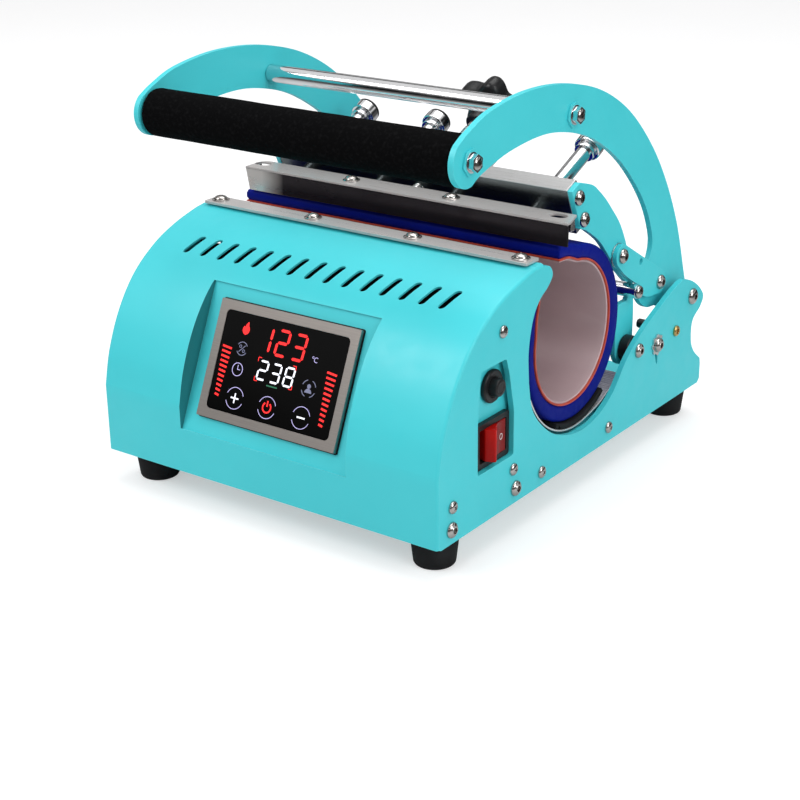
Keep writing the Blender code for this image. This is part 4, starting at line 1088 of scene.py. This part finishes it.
def switches():
    low, high = SWITCH_LOW, SWITCH_HIGH
    well_low, well_high = (low[0] + 4.2, low[1] + 3.8), (high[0] - 3.0, high[1] - 3.8)
    well = rounded_rectangle(well_low, well_high, 1.0, 3)
    sheet("switch_flange", rounded_rectangle(low, high, 1.6, 4), side_view(BRACKET_FACE + 0.3, 137.0), BLACK,
          "root", [well], 0.5, segments=3, node="switch_housing")
    outer = rounded_rectangle((low[0] + 2.9, low[1] + 1.9), (high[0] - 2.9, high[1] - 1.9), 1.0, 3)
    sheet("switch_body", outer, side_view(112.0, BRACKET_FACE + 0.4), BLACK, "root", [well], 0.3,
          node="switch_housing")
    sheet("switch_back", outer, side_view(108.0, 112.2), BLACK, "root", (), 0.3, node="switch_housing")
    rocker()
    collar = BRACKET_FACE + 0.3 - BREAKER_FACE
    shell = [(0.0, -24.0), (8.0, -24.0), (8.0, collar), (10.6, collar), (11.0, collar + 0.4), (11.0, -0.9),
             (10.2, 0.0), (7.4, 0.0), (7.0, -0.4), (6.4, -0.4), (6.4, -16.0), (0.0, -16.0)]
    turned("breaker_body_looks", shell, (BREAKER_FACE, *BREAKER_CENTRE), (1, 0, 0), BLACK, "root", 0.15, 64)
    knob = [(0.0, -13.0), (6.0, -13.0), (6.0, 3.9), (5.6, 4.8), (4.8, 5.2), (3.6, 5.2), (3.2, 4.9),
            (0.0, 4.8)]
    turned("breaker_button_looks", knob, (BREAKER_FACE, *BREAKER_CENTRE), (1, 0, 0), BLACK, "breaker_reset",
           0.15, 64)


def rocker():
    """Rocker with a shallow V face, standing out at the front, marked O at the rear and I at the front."""
    x, depth, height = ROCKER_AXIS
    cos, sin = math.cos(ROCKER_TILT), math.sin(ROCKER_TILT)

    def place(along, out, rise):
        return at(x + out * cos - along * sin, depth + along * cos + out * sin, height + rise)

    def add_raised(bm, loop):
        """Mark of (along, rise) points, sunk a little into the face and standing out of it."""
        add_prism(bm, *([place(a, rocker_face(a) + out, rise) for a, rise in loop]
                        for out in (MARK_SUNK, MARK_PROUD)))

    face = [(t, rocker_face(t)) for t in (i * ROCKER_REACH / 6 for i in range(-6, 7))]
    section = [(-11.8, 2.5), (-11.4, 8.6), (-10.9, 9.5), *face, (10.9, 9.5), (11.4, 8.6), (11.8, 2.5),
               (8.0, -4.0), (-8.0, -4.0)]
    bm = bmesh.new()
    add_prism(bm, *([place(a, out, side * ROCKER_HALF_HEIGHT) for a, out in section] for side in (-1, 1)))
    piece("rocker_looks", bm, RED_PLASTIC, "rocker", 0.5, segments=3, node="rocker_button")
    marks = bmesh.new()
    inner, outer, centre, stretch = 1.25, 1.6, 5.4, 1.35
    for start in range(0, 360, 15):
        ends = ((inner, start), (outer, start), (outer, start + 15), (inner, start + 15))
        add_raised(marks, [(centre + radius * math.cos(math.radians(angle)),
                            radius * stretch * math.sin(math.radians(angle))) for radius, angle in ends])
    add_raised(marks, [(-5.9, -2.4), (-5.3, -2.4), (-5.3, 2.4), (-5.9, 2.4)])
    piece("rocker_marks", marks, WHITE_PRINT, "rocker")


def rocker_face(along):
    """Height of the rocker's hollow face above its axis."""
    return 7.4 + 2.4 * (along / ROCKER_REACH) ** 2


INLET_CENTRE = (-78.0, 43.5)
REAR_PANEL = 247.6


def mains_inlet():
    """Inlet with a chamfered flange, a hollow mouth and three blades."""
    x, height = INLET_CENTRE
    mouth = rounded_loop([(x - 12.0, height + 8.0), (x + 12.0, height + 8.0), (x + 12.0, height - 3.5),
                          (x + 7.0, height - 8.0), (x - 7.0, height - 8.0), (x - 12.0, height - 3.5)], 1.4)
    flange = rounded_rectangle((x - 28.0, height - 14.0), (x + 28.0, height + 14.0), 4.0)
    sheet("inlet_flange", flange, front_view(REAR_PANEL + 0.2, REAR_PANEL + 3.6), BLACK, "root", [mouth],
          0.6, segments=3, node="mains_inlet")
    core = rounded_rectangle((x - 14.5, height - 10.5), (x + 14.5, height + 10.5), 2.0)
    sheet("inlet_shell", core, front_view(REAR_PANEL - 13.0, REAR_PANEL + 0.3), BLACK, "root", [mouth], 0.3,
          node="mains_inlet")
    sheet("inlet_floor", core, front_view(REAR_PANEL - 16.0, REAR_PANEL - 12.8), BLACK, "root", (), 0.3,
          node="mains_inlet")
    for number, (dx, dz) in enumerate(((-6.5, -1.0), (0.0, 3.0), (6.5, -1.0)), 1):
        block(f"inlet_blade_{number}", (x + dx - 1.0, REAR_PANEL - 13.0, height + dz - 2.4),
              (x + dx + 1.0, REAR_PANEL - 1.5, height + dz + 2.4), TURNED, "root", 0.3)
    for number, dx in enumerate((-21.5, 21.5), 1):
        screw(f"inlet_screw_{number}", "small", x + dx, REAR_PANEL + 3.6, height, (0, 1, 0), "root", 0.4,
              BLACK)


def mat_path():
    start = [(114.8, 170.5), (115.5, 160.0), (117.0, 150.0), (114.5, 138.0)]
    oval = arc(MAT_CENTRE, MAT_HALF_DEPTH, 168, 446, 139, MAT_HALF_HEIGHT)
    top = [oval[-1], (163.0, 178.4), (149.2, 178.9)]
    return smooth([*start, oval[0]], 8)[:-1] + oval + smooth(top, 8)[1:]


def soft_band(bm, path, near, far, half, radius, round_start, round_end):
    """Closed band along a path with soft rounded rims; the thickness pulls in towards every free edge."""
    lengths = [0.0]
    for a, b in zip(path, path[1:]):
        lengths.append(lengths[-1] + (Vector(b) - Vector(a)).length)
    total = lengths[-1]

    def inset(distance):
        if distance >= radius:
            return 0.0
        return radius - math.sqrt(max(0.0, radius ** 2 - (radius - distance) ** 2))

    rims = [radius * k for k in (0.0, 0.12, 0.35, 0.65, 1.0)]
    xs = [-half + r for r in rims]
    inner_columns = 44
    xs += [-half + radius + (2 * half - 2 * radius) * i / inner_columns for i in range(1, inner_columns)]
    xs += [half - r for r in reversed(rims)]
    outer_path, inner_path = offset(path, near), offset(path, far)
    skins = ([], [])
    for x in xs:
        edge_x = half - abs(x)
        columns = ([], [])
        for i in range(len(path)):
            pull = inset(edge_x)
            if round_start:
                pull = max(pull, inset(lengths[i]))
            if round_end:
                pull = max(pull, inset(total - lengths[i]))
            share = min(0.5, pull / (Vector(inner_path[i]) - Vector(outer_path[i])).length)
            o, n = Vector(outer_path[i]), Vector(inner_path[i])
            a, b = o.lerp(n, share), n.lerp(o, share)
            columns[0].append(bm.verts.new(at(x, *a)))
            columns[1].append(bm.verts.new(at(x, *b)))
        skins[0].append(columns[0])
        skins[1].append(columns[1])
    for skin in skins:
        for left, right in zip(skin, skin[1:]):
            for i in range(len(path) - 1):
                bm.faces.new((left[i], right[i], right[i + 1], left[i + 1]))
    outer, inner = skins
    for c in (0, -1):
        for i in range(len(path) - 1):
            bm.faces.new((outer[c][i], outer[c][i + 1], inner[c][i + 1], inner[c][i]))
    for i in (0, -1):
        for c in range(len(xs) - 1):
            bm.faces.new((outer[c][i], outer[c + 1][i], inner[c + 1][i], inner[c][i]))


def inner_face(extra):
    """Distance from the mat's outer face to its inner face, plus an extra, at a point of the path."""
    def distance(point):
        angle = math.atan2(point[1] - MAT_CENTRE[1], point[0] - MAT_CENTRE[0])
        return JACKET + JACKET_BULGE * math.cos(angle - JACKET_BULGE_ANGLE) + extra
    return distance


def heater():
    """Mat, edging and liner, each in a fixed front half and a rear half."""
    path = mat_path()
    split = min(range(len(path)), key=lambda i: path[i][1])
    layers = (("heater_mat", 0.0, inner_face(0.0), HALF_MAT, 2.6, 0.45, BLUE, "heater_mat", "blue_jacket", 0),
              ("heater_edging", inner_face(-0.5), inner_face(0.9), HALF_MAT + 0.5, 0.45, 0.3, EDGE, None,
               "blue_jacket", 0),
              ("heater_liner", inner_face(0.7), inner_face(2.3), HALF_MAT - 0.8, 0.6, 0.3, LINER,
               "heater_liner", "grey_liner", 1))
    for name, near, far, half, radius, wobble, paint, node, slot_name, trim in layers:
        halves = (("front", path[trim:split + 1], True, False),
                  ("rear", path[split:len(path) - trim], False, True))
        for part, run, round_start, round_end in halves:
            bm = bmesh.new()
            soft_band(bm, run, near, far, half, radius, round_start, round_end)
            bump_out(bm, wobble)
            made = piece(f"{name}_{part}", bm, paint)
            shade(made.data, 60.0)
            if part == "front":
                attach(made, "root")
            else:
                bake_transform(made)
            if node:
                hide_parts(node)


def bump_out(bm, wobble):
    """Slow unevenness of a hand-laid mat, the same in every layer so that they stay nested."""
    for vert in bm.verts:
        x, y, z = vert.co / MM
        wave = noise.noise(Vector((x * 0.020, y * 0.03, z * 0.03)))
        ripple = noise.noise(Vector((x * 0.06 + 9.0, y * 0.06, z * 0.06)))
        out = Vector((0.0, y + DEPTH / 2 - MAT_CENTRE[0], z - MAT_CENTRE[1])).normalized()
        vert.co += out * (wave + 0.4 * ripple) * wobble * MM


TRAY_SPACING = 4.6
TRAY_FLARE = 8.0
FLARE_START = math.radians(-80.0)
FLARE_RUN = math.radians(45.0)


def tray_face(extra):
    """Distance from the mat out to the tray, plus an extra; the tray opens away from the mat at the rear."""
    def distance(point):
        angle = math.atan2(point[1] - MAT_CENTRE[1], point[0] - MAT_CENTRE[0])
        share = min(1.0, max(0.0, (angle - FLARE_START) / FLARE_RUN))
        return -(TRAY_SPACING + TRAY_FLARE * share * share * (3 - 2 * share) + extra)
    return distance


def cradle():
    under = arc(MAT_CENTRE, MAT_HALF_DEPTH, 246, 306, 30, MAT_HALF_HEIGHT)
    half = HALF_WIDTH - PLATE - 1.0
    sheet("cradle_pad_looks", band(under, -0.5, -4.3), side_view(-half, half), RUBBER, "root", (), 0.8,
          slot="black_foam")
    bowl = arc(MAT_CENTRE, MAT_HALF_DEPTH, 205, 322, 60, MAT_HALF_HEIGHT)
    sheet("cradle_tray_looks", band(bowl, tray_face(0.0), tray_face(1.2)), side_view(-half, half),
          STEEL_TRAY, "root", (), 0.25)


# ---------------------------------------------------------------- clamp strips
STRIP_FRONT = 105.5
STRIP_REAR = 121.0
STRIP_UNDER = 177.9
STRIP_SCREW_X = (-126.0, -42.0, 42.0, 126.0)
UPPER_FRONT = 147.0
UPPER_REAR = 168.0
UPPER_TOP = 196.4
UPPER_LOW = 179.6
UPPER_SCREW_X = (-42.3, 42.3)
UPPER_LEFT = -131.0
UPPER_RIGHT = 140.0
END_TAB = 131.0
UPPER_HOLE_X = (-125.0, 125.0)
CLAMP_BAR_HALF = 112.0


def front_view(low, high):
    return lambda point, t: at(point[0], low + (high - low) * t, point[1])


def top_view(low, high):
    return lambda point, t: at(point[0], point[1], low + (high - low) * t)


def front_strip():
    outline = rounded_rectangle((-HALF_STRIP, STRIP_FRONT), (HALF_STRIP, STRIP_REAR), 1.4, 4)
    middle = (STRIP_FRONT + STRIP_REAR) / 2
    holes = [circle((x, middle), 3.0, 24) for x in STRIP_SCREW_X]
    sheet("front_clamp_strip_looks", outline, top_view(STRIP_UNDER, STRIP_UNDER + 1.8), STEEL, "root", holes,
          0.4, segments=3)
    for number, x in enumerate(STRIP_SCREW_X, 1):
        screw(f"strip_screw_{number}_looks", "washer", x, middle, STRIP_UNDER + 1.9, (0, 0, 1), "root",
              0.5 * number)


def upper_strip():
    """Steel top flange with screws and open end holes, and the front flange below it, painted dark with a
    painted reflection.
    """
    rear_left = arc((UPPER_LEFT + 7.0, UPPER_REAR - 7.0), 7.0, 90, 180, 10)
    outline = [(UPPER_LEFT, UPPER_FRONT), (UPPER_RIGHT, UPPER_FRONT), (UPPER_RIGHT - 0.6, UPPER_FRONT + 4.0),
               (UPPER_RIGHT - 6.0, UPPER_REAR), *rear_left]
    holes = []
    for x in UPPER_HOLE_X:
        holes.append(arc((x + 2.2, 160.0), 4.4, -90, 90, 12) + arc((x - 2.2, 160.0), 4.4, 90, 270, 12))
    sheet("upper_strip_top", outline, top_view(UPPER_TOP - 1.5, UPPER_TOP), STEEL, "clamp", holes, 0.4,
          segments=3, node="upper_clamp_strip")
    flange = [(UPPER_LEFT + 3.0, UPPER_LOW), (UPPER_RIGHT - 0.2, UPPER_LOW + 1.0),
              (UPPER_RIGHT, UPPER_TOP - 1.0), (UPPER_LEFT, UPPER_TOP - 1.0)]
    sheet("upper_strip_flange", flange, front_view(UPPER_FRONT, UPPER_FRONT + 1.5), STEEL_PAINTED_REFLECTION, "clamp", (), 0.3,
          node="upper_clamp_strip")
    for number, x in enumerate(UPPER_SCREW_X, 1):
        screw(f"upper_strip_screw_{number}", "washer", x, 157.5, UPPER_TOP, (0, 0, 1), "clamp", 0.9 * number)
    front_y = UPPER_FRONT + 1.8
    top = UPPER_TOP - 1.8
    bar = [(front_y, UPPER_LOW), (164.0, UPPER_LOW), (166.5, 184.0), (166.5, top), (front_y, top)]
    sheet("clamp_bar_looks", bar, side_view(-CLAMP_BAR_HALF, CLAMP_BAR_HALF), BLACK, "clamp", (), 0.5)
    for label, side in SIDES:
        low, high = on_both_sides(END_TAB, END_TAB + 3.4, side)
        block(f"strip_end_tab_{label}", (low, 160.5, 186.5), (high, 165.5, 194.6), TURNED, "clamp", 0.6)


# ---------------------------------------------------------------- handle
def handle_arm_outline():
    tip = arc((50.3, 254.8), 15.7, 285, 130, 20)
    back = smooth([tip[-1], (52.0, 273.0), (75.0, 281.0), (115.0, 285.5), (160.0, 282.5), (205.0, 271.0),
                   (245.0, 250.0), (279.0, 220.0), (304.0, 188.0), (324.0, 152.0), (338.0, 114.0)])
    eye = arc(HANDLE_PIVOT, 13.5, 10, -100, 16)
    under = smooth([eye[-1], (314.0, 87.5), (297.0, 97.0), (281.0, 100.0), (269.0, 110.0), (271.0, 122.0),
                    (282.0, 133.5), (286.6, 146.0), (284.0, 158.0), (274.5, 176.0), (258.0, 196.0),
                    (235.0, 217.0), (208.0, 234.5), (180.0, 246.5), (140.0, 254.5), (98.0, 252.5),
                    (66.0, 245.0), tip[0]])
    return tip + back[1:] + eye + under[1:-1]


def handle():
    holes = [circle(HANDLE_PIVOT, 4.3), circle(TIE_ROD, 4.3), circle(GRIP_AXIS, 4.3), circle(LINK_HIGH, 3.3)]
    half = ARM_OUTER - PLATE - 0.3
    for label, side in SIDES:
        span = on_both_sides(ARM_OUTER - PLATE, ARM_OUTER, side)
        sheet(f"handle_arm_{label}_looks", handle_arm_outline(), side_view(*span), PAINT, "handle", holes,
              0.8, segments=3)
        for place, centre in (("grip", GRIP_AXIS), ("tie", TIE_ROD)):
            arm_end(f"{place}_{label}", side, centre)
    tie = [(0.0, -half), (5.8, -half), (6.3, -half + 0.5), (6.3, half - 0.5), (5.8, half), (0.0, half)]
    turned("tie_rod_looks", tie, (0.0, *TIE_ROD), (1, 0, 0), CHROME, "handle", 0.0, 64)
    turned("handle_tube_looks", [(0.0, -half), (11.0, -half), (11.0, half), (0.0, half)], (0.0, *GRIP_AXIS),
           (1, 0, 0), TURNED, "handle", 0.3, 48)
    foam_grip(half)


def arm_end(label, side, centre):
    """Painted hexagonal pad with a hexagon-headed screw through it."""
    pad = [(centre[0] + x, centre[1] + y) for x, y in arc((0.0, 0.0), 9.0, 10, 310, 5)]
    low, high = on_both_sides(ARM_OUTER, ARM_OUTER + 1.3, side)
    sheet(f"{label}_pad", rounded_loop(pad, 1.5), side_view(low, high), PAINT, "handle", (), 0.5, segments=3)
    head = rounded_loop([(centre[0] + x, centre[1] + y) for x, y in arc((0.0, 0.0), 5.7, 25, 325, 5)], 0.5, 3)
    low, high = on_both_sides(ARM_OUTER + 1.9, ARM_OUTER + 5.6, side)
    sheet(f"{label}_hexagon", head, side_view(low, high), CHROME, "handle", (), 0.6, segments=3)
    flange = [(0.0, 0.0), (6.4, 0.0), (6.4, 0.5), (5.4, 0.9), (0.0, 0.9)]
    turned(f"{label}_flange", flange, (side * (ARM_OUTER + 1.25), *centre), (side, 0, 0), CHROME, "handle",
           0.1)
    screw(f"{label}_screw", "small", side * (ARM_OUTER + 4.3), *centre, (side, 0, 0), "handle", 0.6)


def foam_grip(half):
    """Foam sleeve, slightly uneven, with soft ends."""
    bm = bmesh.new()
    reach = half - 0.5
    rings = []
    ends = [(14.2, 0.0), (15.2, 0.25), (15.75, 0.9), (16.0, 2.0)]
    stations = [(r, -reach + d) for r, d in ends]
    stations += [(16.0, -reach + 2.0 + (2 * reach - 4.0) * i / 90) for i in range(1, 90)]
    stations += [(r, reach - d) for r, d in reversed(ends)]
    stations = [(11.3, -reach), *stations, (11.3, reach)]
    steps = 64
    for radius, x in stations:
        ring = []
        for i in range(steps):
            angle = 2 * math.pi * i / steps
            lump = noise.noise(Vector((x * 0.035, 1.3 * math.cos(angle), 1.3 * math.sin(angle))))
            r = radius + (0.22 * lump if radius > 15.5 else 0.0)
            depth, height = GRIP_AXIS[0] + r * math.cos(angle), GRIP_AXIS[1] + r * math.sin(angle)
            ring.append(bm.verts.new(at(x, depth, height)))
        rings.append(ring)
    for low, high in zip(rings, rings[1:]):
        join_rings(bm, low, high)
    join_rings(bm, rings[-1], rings[0])
    piece("foam_grip_looks", bm, FOAM, "handle", sharp=50.0)


# ---------------------------------------------------------------- clamp frame
def inner_arm_outline():
    bar = [head_point(BAR_NEAR, BAR_ABOVE), head_point(BAR_FAR - 3.0, BAR_ABOVE)]
    back = smooth([bar[-1], (198.5, 208.8), (208.0, 202.5), (217.5, 194.7), (227.0, 185.2),
                   (236.5, 175.0), (243.8, 164.0), (250.5, 150.5), (259.0, 128.0), (262.0, 106.0),
                   (262.2, 84.0)])
    eye = arc(CLAMP_PIVOT, 12.5, 0, -180, 24)
    shin = [(237.0, 100.0), (239.5, 113.5)]
    notch = [(252.5, 113.5), *arc((252.5, CROSS_ROD[1]), 6.0, -90, 90, 12), (250.0, 127.4)]
    neck = smooth([notch[-1], (234.0, 141.5), (226.0, 150.5), (210.0, 167.0), (191.0, 179.5)])
    heel = [(183.5, 182.0), head_point(BAR_NEAR, -9.0)]
    return bar + back[1:] + eye[1:] + shin + notch + neck[1:] + heel


BAR_BOLT_RISES = (11.4, -6.6)


def clamp():
    holes = [circle(CLAMP_PIVOT, 4.3), circle(LINK_LOW, 3.3)]
    for label, side in SIDES:
        span = on_both_sides(ARM_OUTER - PLATE, ARM_OUTER, side)
        sheet(f"inner_arm_{label}_looks", inner_arm_outline(), side_view(*span), PAINT, "clamp", holes, 0.8,
              segments=3)
        for number, rise in enumerate(BAR_BOLT_RISES, 1):
            screw(f"bar_bolt_{label}_{number}", "button", side * ARM_OUTER, *head_point(0.0, rise),
                  (side, 0, 0), "clamp", 0.5 * number)
    half = ARM_OUTER - PLATE - 0.1
    section = [head_point(BAR_NEAR, -BAR_BELOW), head_point(BAR_FAR, -BAR_BELOW),
               head_point(BAR_FAR, BAR_ABOVE), head_point(BAR_NEAR, BAR_ABOVE)]
    sheet("crossbar_looks", section, side_view(-half, half), STEEL_BAR, "clamp", (), 0.9, segments=3)
    end = ARM_OUTER + 8.2
    rod = [(0.0, 0.0), (5.0, 0.0), (5.0, 2 * end), (0.0, 2 * end)]
    turned("cross_rod_looks", rod, (-end, *CROSS_ROD), (1, 0, 0), CHROME, "clamp", 0.3, 64)
    for label, side in SIDES:
        screw(f"cross_rod_screw_{label}", "pan", side * end, *CROSS_ROD, (side, 0, 0), "clamp", 0.4)
    guide_rods()
    pressure_knob()


ROD_COLLAR = 59.0


def guide_rods():
    """Polished rods with a grooved collar, a steel cap and a black washer."""
    end = ROD_COLLAR
    for number, x in enumerate(GUIDE_ROD_X, 1):
        node = f"guide_rod_{number}"
        rod = [(0.0, 0.0), (5.2, 0.0), (5.5, 0.4), (5.5, end - ROD_START + 2.0), (0.0, end - ROD_START + 2.0)]
        turned(f"{node}_looks", rod, (x, *head_point(ROD_START)), HEAD_AXIS, CHROME, "clamp", 0.0, 48)
        collar = [(5.0, 0.0), (7.0, 0.0), (7.4, 0.5), (7.4, 1.4), (6.6, 1.8), (6.6, 2.6), (7.4, 3.0),
                  (7.4, 4.0), (5.0, 4.0), (5.0, 0.0)]
        turned(f"{node}_collar", collar, (x, *head_point(end)), HEAD_AXIS, CHROME, "clamp", 0.1, 48)
        cap = [(0.0, 0.0), (8.8, 0.0), (9.6, 0.8), (9.6, 7.6), (9.0, 8.2), (0.0, 8.2)]
        turned(f"{node}_cap", cap, (x, *head_point(end + 4.0)), HEAD_AXIS, CHROME, "clamp", 0.15, 48)
        seal = [(0.0, 0.0), (9.0, 0.0), (9.3, 0.3), (9.3, 1.4), (8.6, 2.1), (0.0, 2.2)]
        turned(f"{node}_seal", seal, (x, *head_point(end + 12.2)), HEAD_AXIS, RUBBER, "clamp", 0.2, 48)


KNOB_FRONT = 87.0
KNOB_DEPTH = 17.0
KNOB_LOBES = 5
KNOB_RADIUS = 21.6
LOBE_HEIGHT = 3.6


def pressure_knob():
    """Threaded screw, hub and five-lobed knob."""
    end = KNOB_FRONT - ROD_START - 0.3
    thread = [(0.0, 0.0), (4.4, 0.0)]
    pitch = 1.5
    for i in range(int((end - 22.0) / pitch)):
        base = i * pitch
        thread += [(4.3, base + 0.3), (5.0, base + pitch / 2), (4.3, base + pitch - 0.15)]
    thread += [(4.6, end - 20.0), (4.6, end - 14.0), (0.0, end - 14.0)]
    turned("pressure_screw_looks", thread, (0.0, *head_point(ROD_START)), HEAD_AXIS, TURNED, "pressure_knob",
           0.0, 40, sharp=60.0)
    hub = [(4.6, 0.0), (7.6, 0.0), (8.5, 0.9), (8.5, 15.0), (4.6, 15.0), (4.6, 0.0)]
    turned("knob_hub", hub, (0.0, *head_point(KNOB_FRONT - 15.3)), HEAD_AXIS, KNOB_BLACK, "pressure_knob",
           0.2, 48)
    turn = Vector((0.0, 0.0, 1.0)).rotation_difference(HEAD_AXIS).to_matrix()
    start = at(0.0, *head_point(KNOB_FRONT))
    profile = [(0.60, 0.0), (0.80, 0.02), (0.91, 0.08), (0.975, 0.18), (1.0, 0.32), (1.0, 0.68),
               (0.975, 0.82), (0.91, 0.92), (0.80, 0.98), (0.60, 1.0)]
    count = 120
    bm = bmesh.new()
    loops = []
    for scale, height in profile:
        loop = []
        for i in range(count):
            angle = 2 * math.pi * i / count
            radius = KNOB_RADIUS + LOBE_HEIGHT * math.cos(KNOB_LOBES * angle) - 22.8 * (1 - scale)
            point = Vector((radius * math.cos(angle), radius * math.sin(angle), height * KNOB_DEPTH))
            loop.append(bm.verts.new(start + turn @ point * MM))
        loops.append(loop)
    for low, high in zip(loops, loops[1:]):
        join_rings(bm, low, high)
    bm.faces.new(loops[0][::-1])
    bm.faces.new(loops[-1])
    piece("star_knob_looks", bm, KNOB_BLACK, "pressure_knob", sharp=60.0)


# ---------------------------------------------------------------- toggle links
def link_point(distance, rise):
    low = Vector(LINK_LOW)
    along = (Vector(LINK_HIGH) - low).normalized()
    return tuple(low + along * distance + Vector((-along.y, along.x)) * rise)


def links():
    length = (Vector(LINK_HIGH) - Vector(LINK_LOW)).length
    near = [link_point(*point) for point in arc((0.0, 0.0), 8.2, 90, 250, 18)]
    lobe = smooth([(-2.8, -7.7), (10.0, -10.2), (26.0, -11.0), (37.0, -11.2), (42.0, -15.3), (54.0, -15.0),
                   (length + 1.5, -8.5)], 6)
    far = [link_point(*point) for point in arc((length, 0.0), 8.6, -80, 90, 18)]
    outline = near + [link_point(*point) for point in lobe[1:-1]] + far
    for label, side in SIDES:
        span = on_both_sides(LINK_INNER, LINK_INNER + LINK_THICK, side)
        holes = [circle(LINK_LOW, 3.3), circle(link_point(29.2, 4.4), 2.5, 24)]
        sheet(f"link_{label}_looks", outline, side_view(*span), PAINT, "links", holes, 0.7, segments=3)
        face = side * (LINK_INNER + LINK_THICK)
        low, high = on_both_sides(ARM_OUTER + 0.05, LINK_INNER - 0.05, side)
        ring = [(3.4, 0.0), (8.6, 0.0), (8.6, high - low), (3.4, high - low), (3.4, 0.0)]
        turned(f"link_pin_washer_{label}", ring, (low, *LINK_LOW), (1, 0, 0), TURNED, "clamp", 0.2, slot="")
        screw(f"link_pin_{label}_looks", "button", face + side * 0.1, *LINK_LOW, (side, 0, 0), "clamp", 0.3)
        screw(f"link_high_pin_{label}", "button", face, *LINK_HIGH, (side, 0, 0), "links", 0.6)


# ---------------------------------------------------------------- carried-over nodes and the studio
def repaint_kept_nodes():
    """CAD nodes whose shape is kept get the finished materials."""
    kept = {"base_plate": PAINT, "rear_panel": PAINT, "switch_bracket": PAINT, "control_board": BOARD}
    for name, paint in kept.items():
        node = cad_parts[name]
        node.data.materials.clear()
        node.data.materials.append(paint)


def camera():
    """Camera on the right of the front, a little above."""
    yaw, pitch, roll = math.radians(36.28), math.radians(22.0), math.radians(-0.74)
    back = Vector((math.sin(yaw) * math.cos(pitch), -math.cos(yaw) * math.cos(pitch), math.sin(pitch)))
    right = Vector((math.cos(yaw), math.sin(yaw), 0.0))
    up = back.cross(right)
    across = right * math.cos(roll) + up * math.sin(roll)
    rise = up * math.cos(roll) - right * math.sin(roll)
    data = bpy.data.cameras.new("camera")
    data.lens = 76.54
    data.sensor_width = 36.0
    made = add_object("camera", data)
    facing = Matrix((across, rise, back)).transposed().to_4x4()
    made.matrix_world = Matrix.Translation((0.6722, -0.9367, 0.4999)) @ facing
    bpy.context.scene.camera = made


def softbox(name, place, target, size, power, colour=(1.0, 1.0, 1.0)):
    data = bpy.data.lights.new(name, "AREA")
    data.shape = "RECTANGLE"
    data.size, data.size_y = size
    data.energy = power
    data.color = colour
    made = add_object(name, data)
    made.location = place
    made.rotation_euler = (Vector(target) - Vector(place)).to_track_quat("-Z", "Y").to_euler()


def studio():
    scene = bpy.context.scene
    scene.view_settings.view_transform = "Standard"
    world = bpy.data.worlds.new("studio")
    scene.world = world
    world.use_nodes = True
    tree = world.node_tree
    background = tree.nodes["Background"]
    background.inputs["Strength"].default_value = 1.0
    coordinates = tree.nodes.new("ShaderNodeTexCoord")
    split = tree.nodes.new("ShaderNodeSeparateXYZ")
    shade = tree.nodes.new("ShaderNodeValToRGB")
    shade.color_ramp.interpolation = "EASE"
    stops = [(0.0, 0.20), (0.47, 0.10), (0.52, 0.03), (0.62, 0.05), (0.65, 0.66), (0.72, 0.66), (0.75, 0.07),
             (0.82, 0.07), (0.86, 0.85), (1.0, 0.80)]
    ramp = shade.color_ramp.elements
    ramp[0].position, ramp[0].color = stops[0][0], (stops[0][1],) * 3 + (1.0,)
    ramp[1].position, ramp[1].color = stops[-1][0], (stops[-1][1],) * 3 + (1.0,)
    for position, value in stops[1:-1]:
        element = ramp.new(position)
        element.color = (value, value, value, 1.0)
    lift = tree.nodes.new("ShaderNodeMath")
    lift.operation = "MULTIPLY_ADD"
    lift.inputs[1].default_value = 0.5
    lift.inputs[2].default_value = 0.5
    path = tree.nodes.new("ShaderNodeLightPath")
    soft = tree.nodes.new("ShaderNodeMix")
    soft.data_type = "RGBA"
    soft.inputs[6].default_value = (0.60, 0.60, 0.60, 1.0)
    mix = tree.nodes.new("ShaderNodeMix")
    mix.data_type = "RGBA"
    mix.inputs[7].default_value = (1.0, 1.0, 1.0, 1.0)
    tree.links.new(coordinates.outputs["Generated"], split.inputs[0])
    tree.links.new(split.outputs["Z"], lift.inputs[0])
    tree.links.new(lift.outputs[0], shade.inputs[0])
    tree.links.new(path.outputs["Is Glossy Ray"], soft.inputs[0])
    tree.links.new(shade.outputs["Color"], soft.inputs[7])
    tree.links.new(soft.outputs[2], mix.inputs[6])
    tree.links.new(path.outputs["Is Camera Ray"], mix.inputs[0])
    tree.links.new(mix.outputs[2], background.inputs["Color"])
    softbox("key", (-0.9, -1.5, 1.7), (0.0, 0.0, 0.12), (1.4, 1.0), 25.0)
    softbox("top", (0.1, 0.3, 1.9), (0.0, 0.0, 0.1), (1.6, 1.2), 17.0)
    softbox("right", (1.8, -0.2, 1.0), (0.0, 0.0, 0.12), (0.9, 1.2), 14.0)
    bm = bmesh.new()
    bmesh.ops.create_grid(bm, x_segments=1, y_segments=1, size=6.0)
    floor = piece("floor", bm, FLOOR)


side_plates()
front_cover()
vent_shade_sheet()
feet()
side_fasteners()
display()
switches()
mains_inlet()
heater()
cradle()
front_strip()
upper_strip()
handle()
clamp()
links()
repaint_kept_nodes()
camera()
studio()
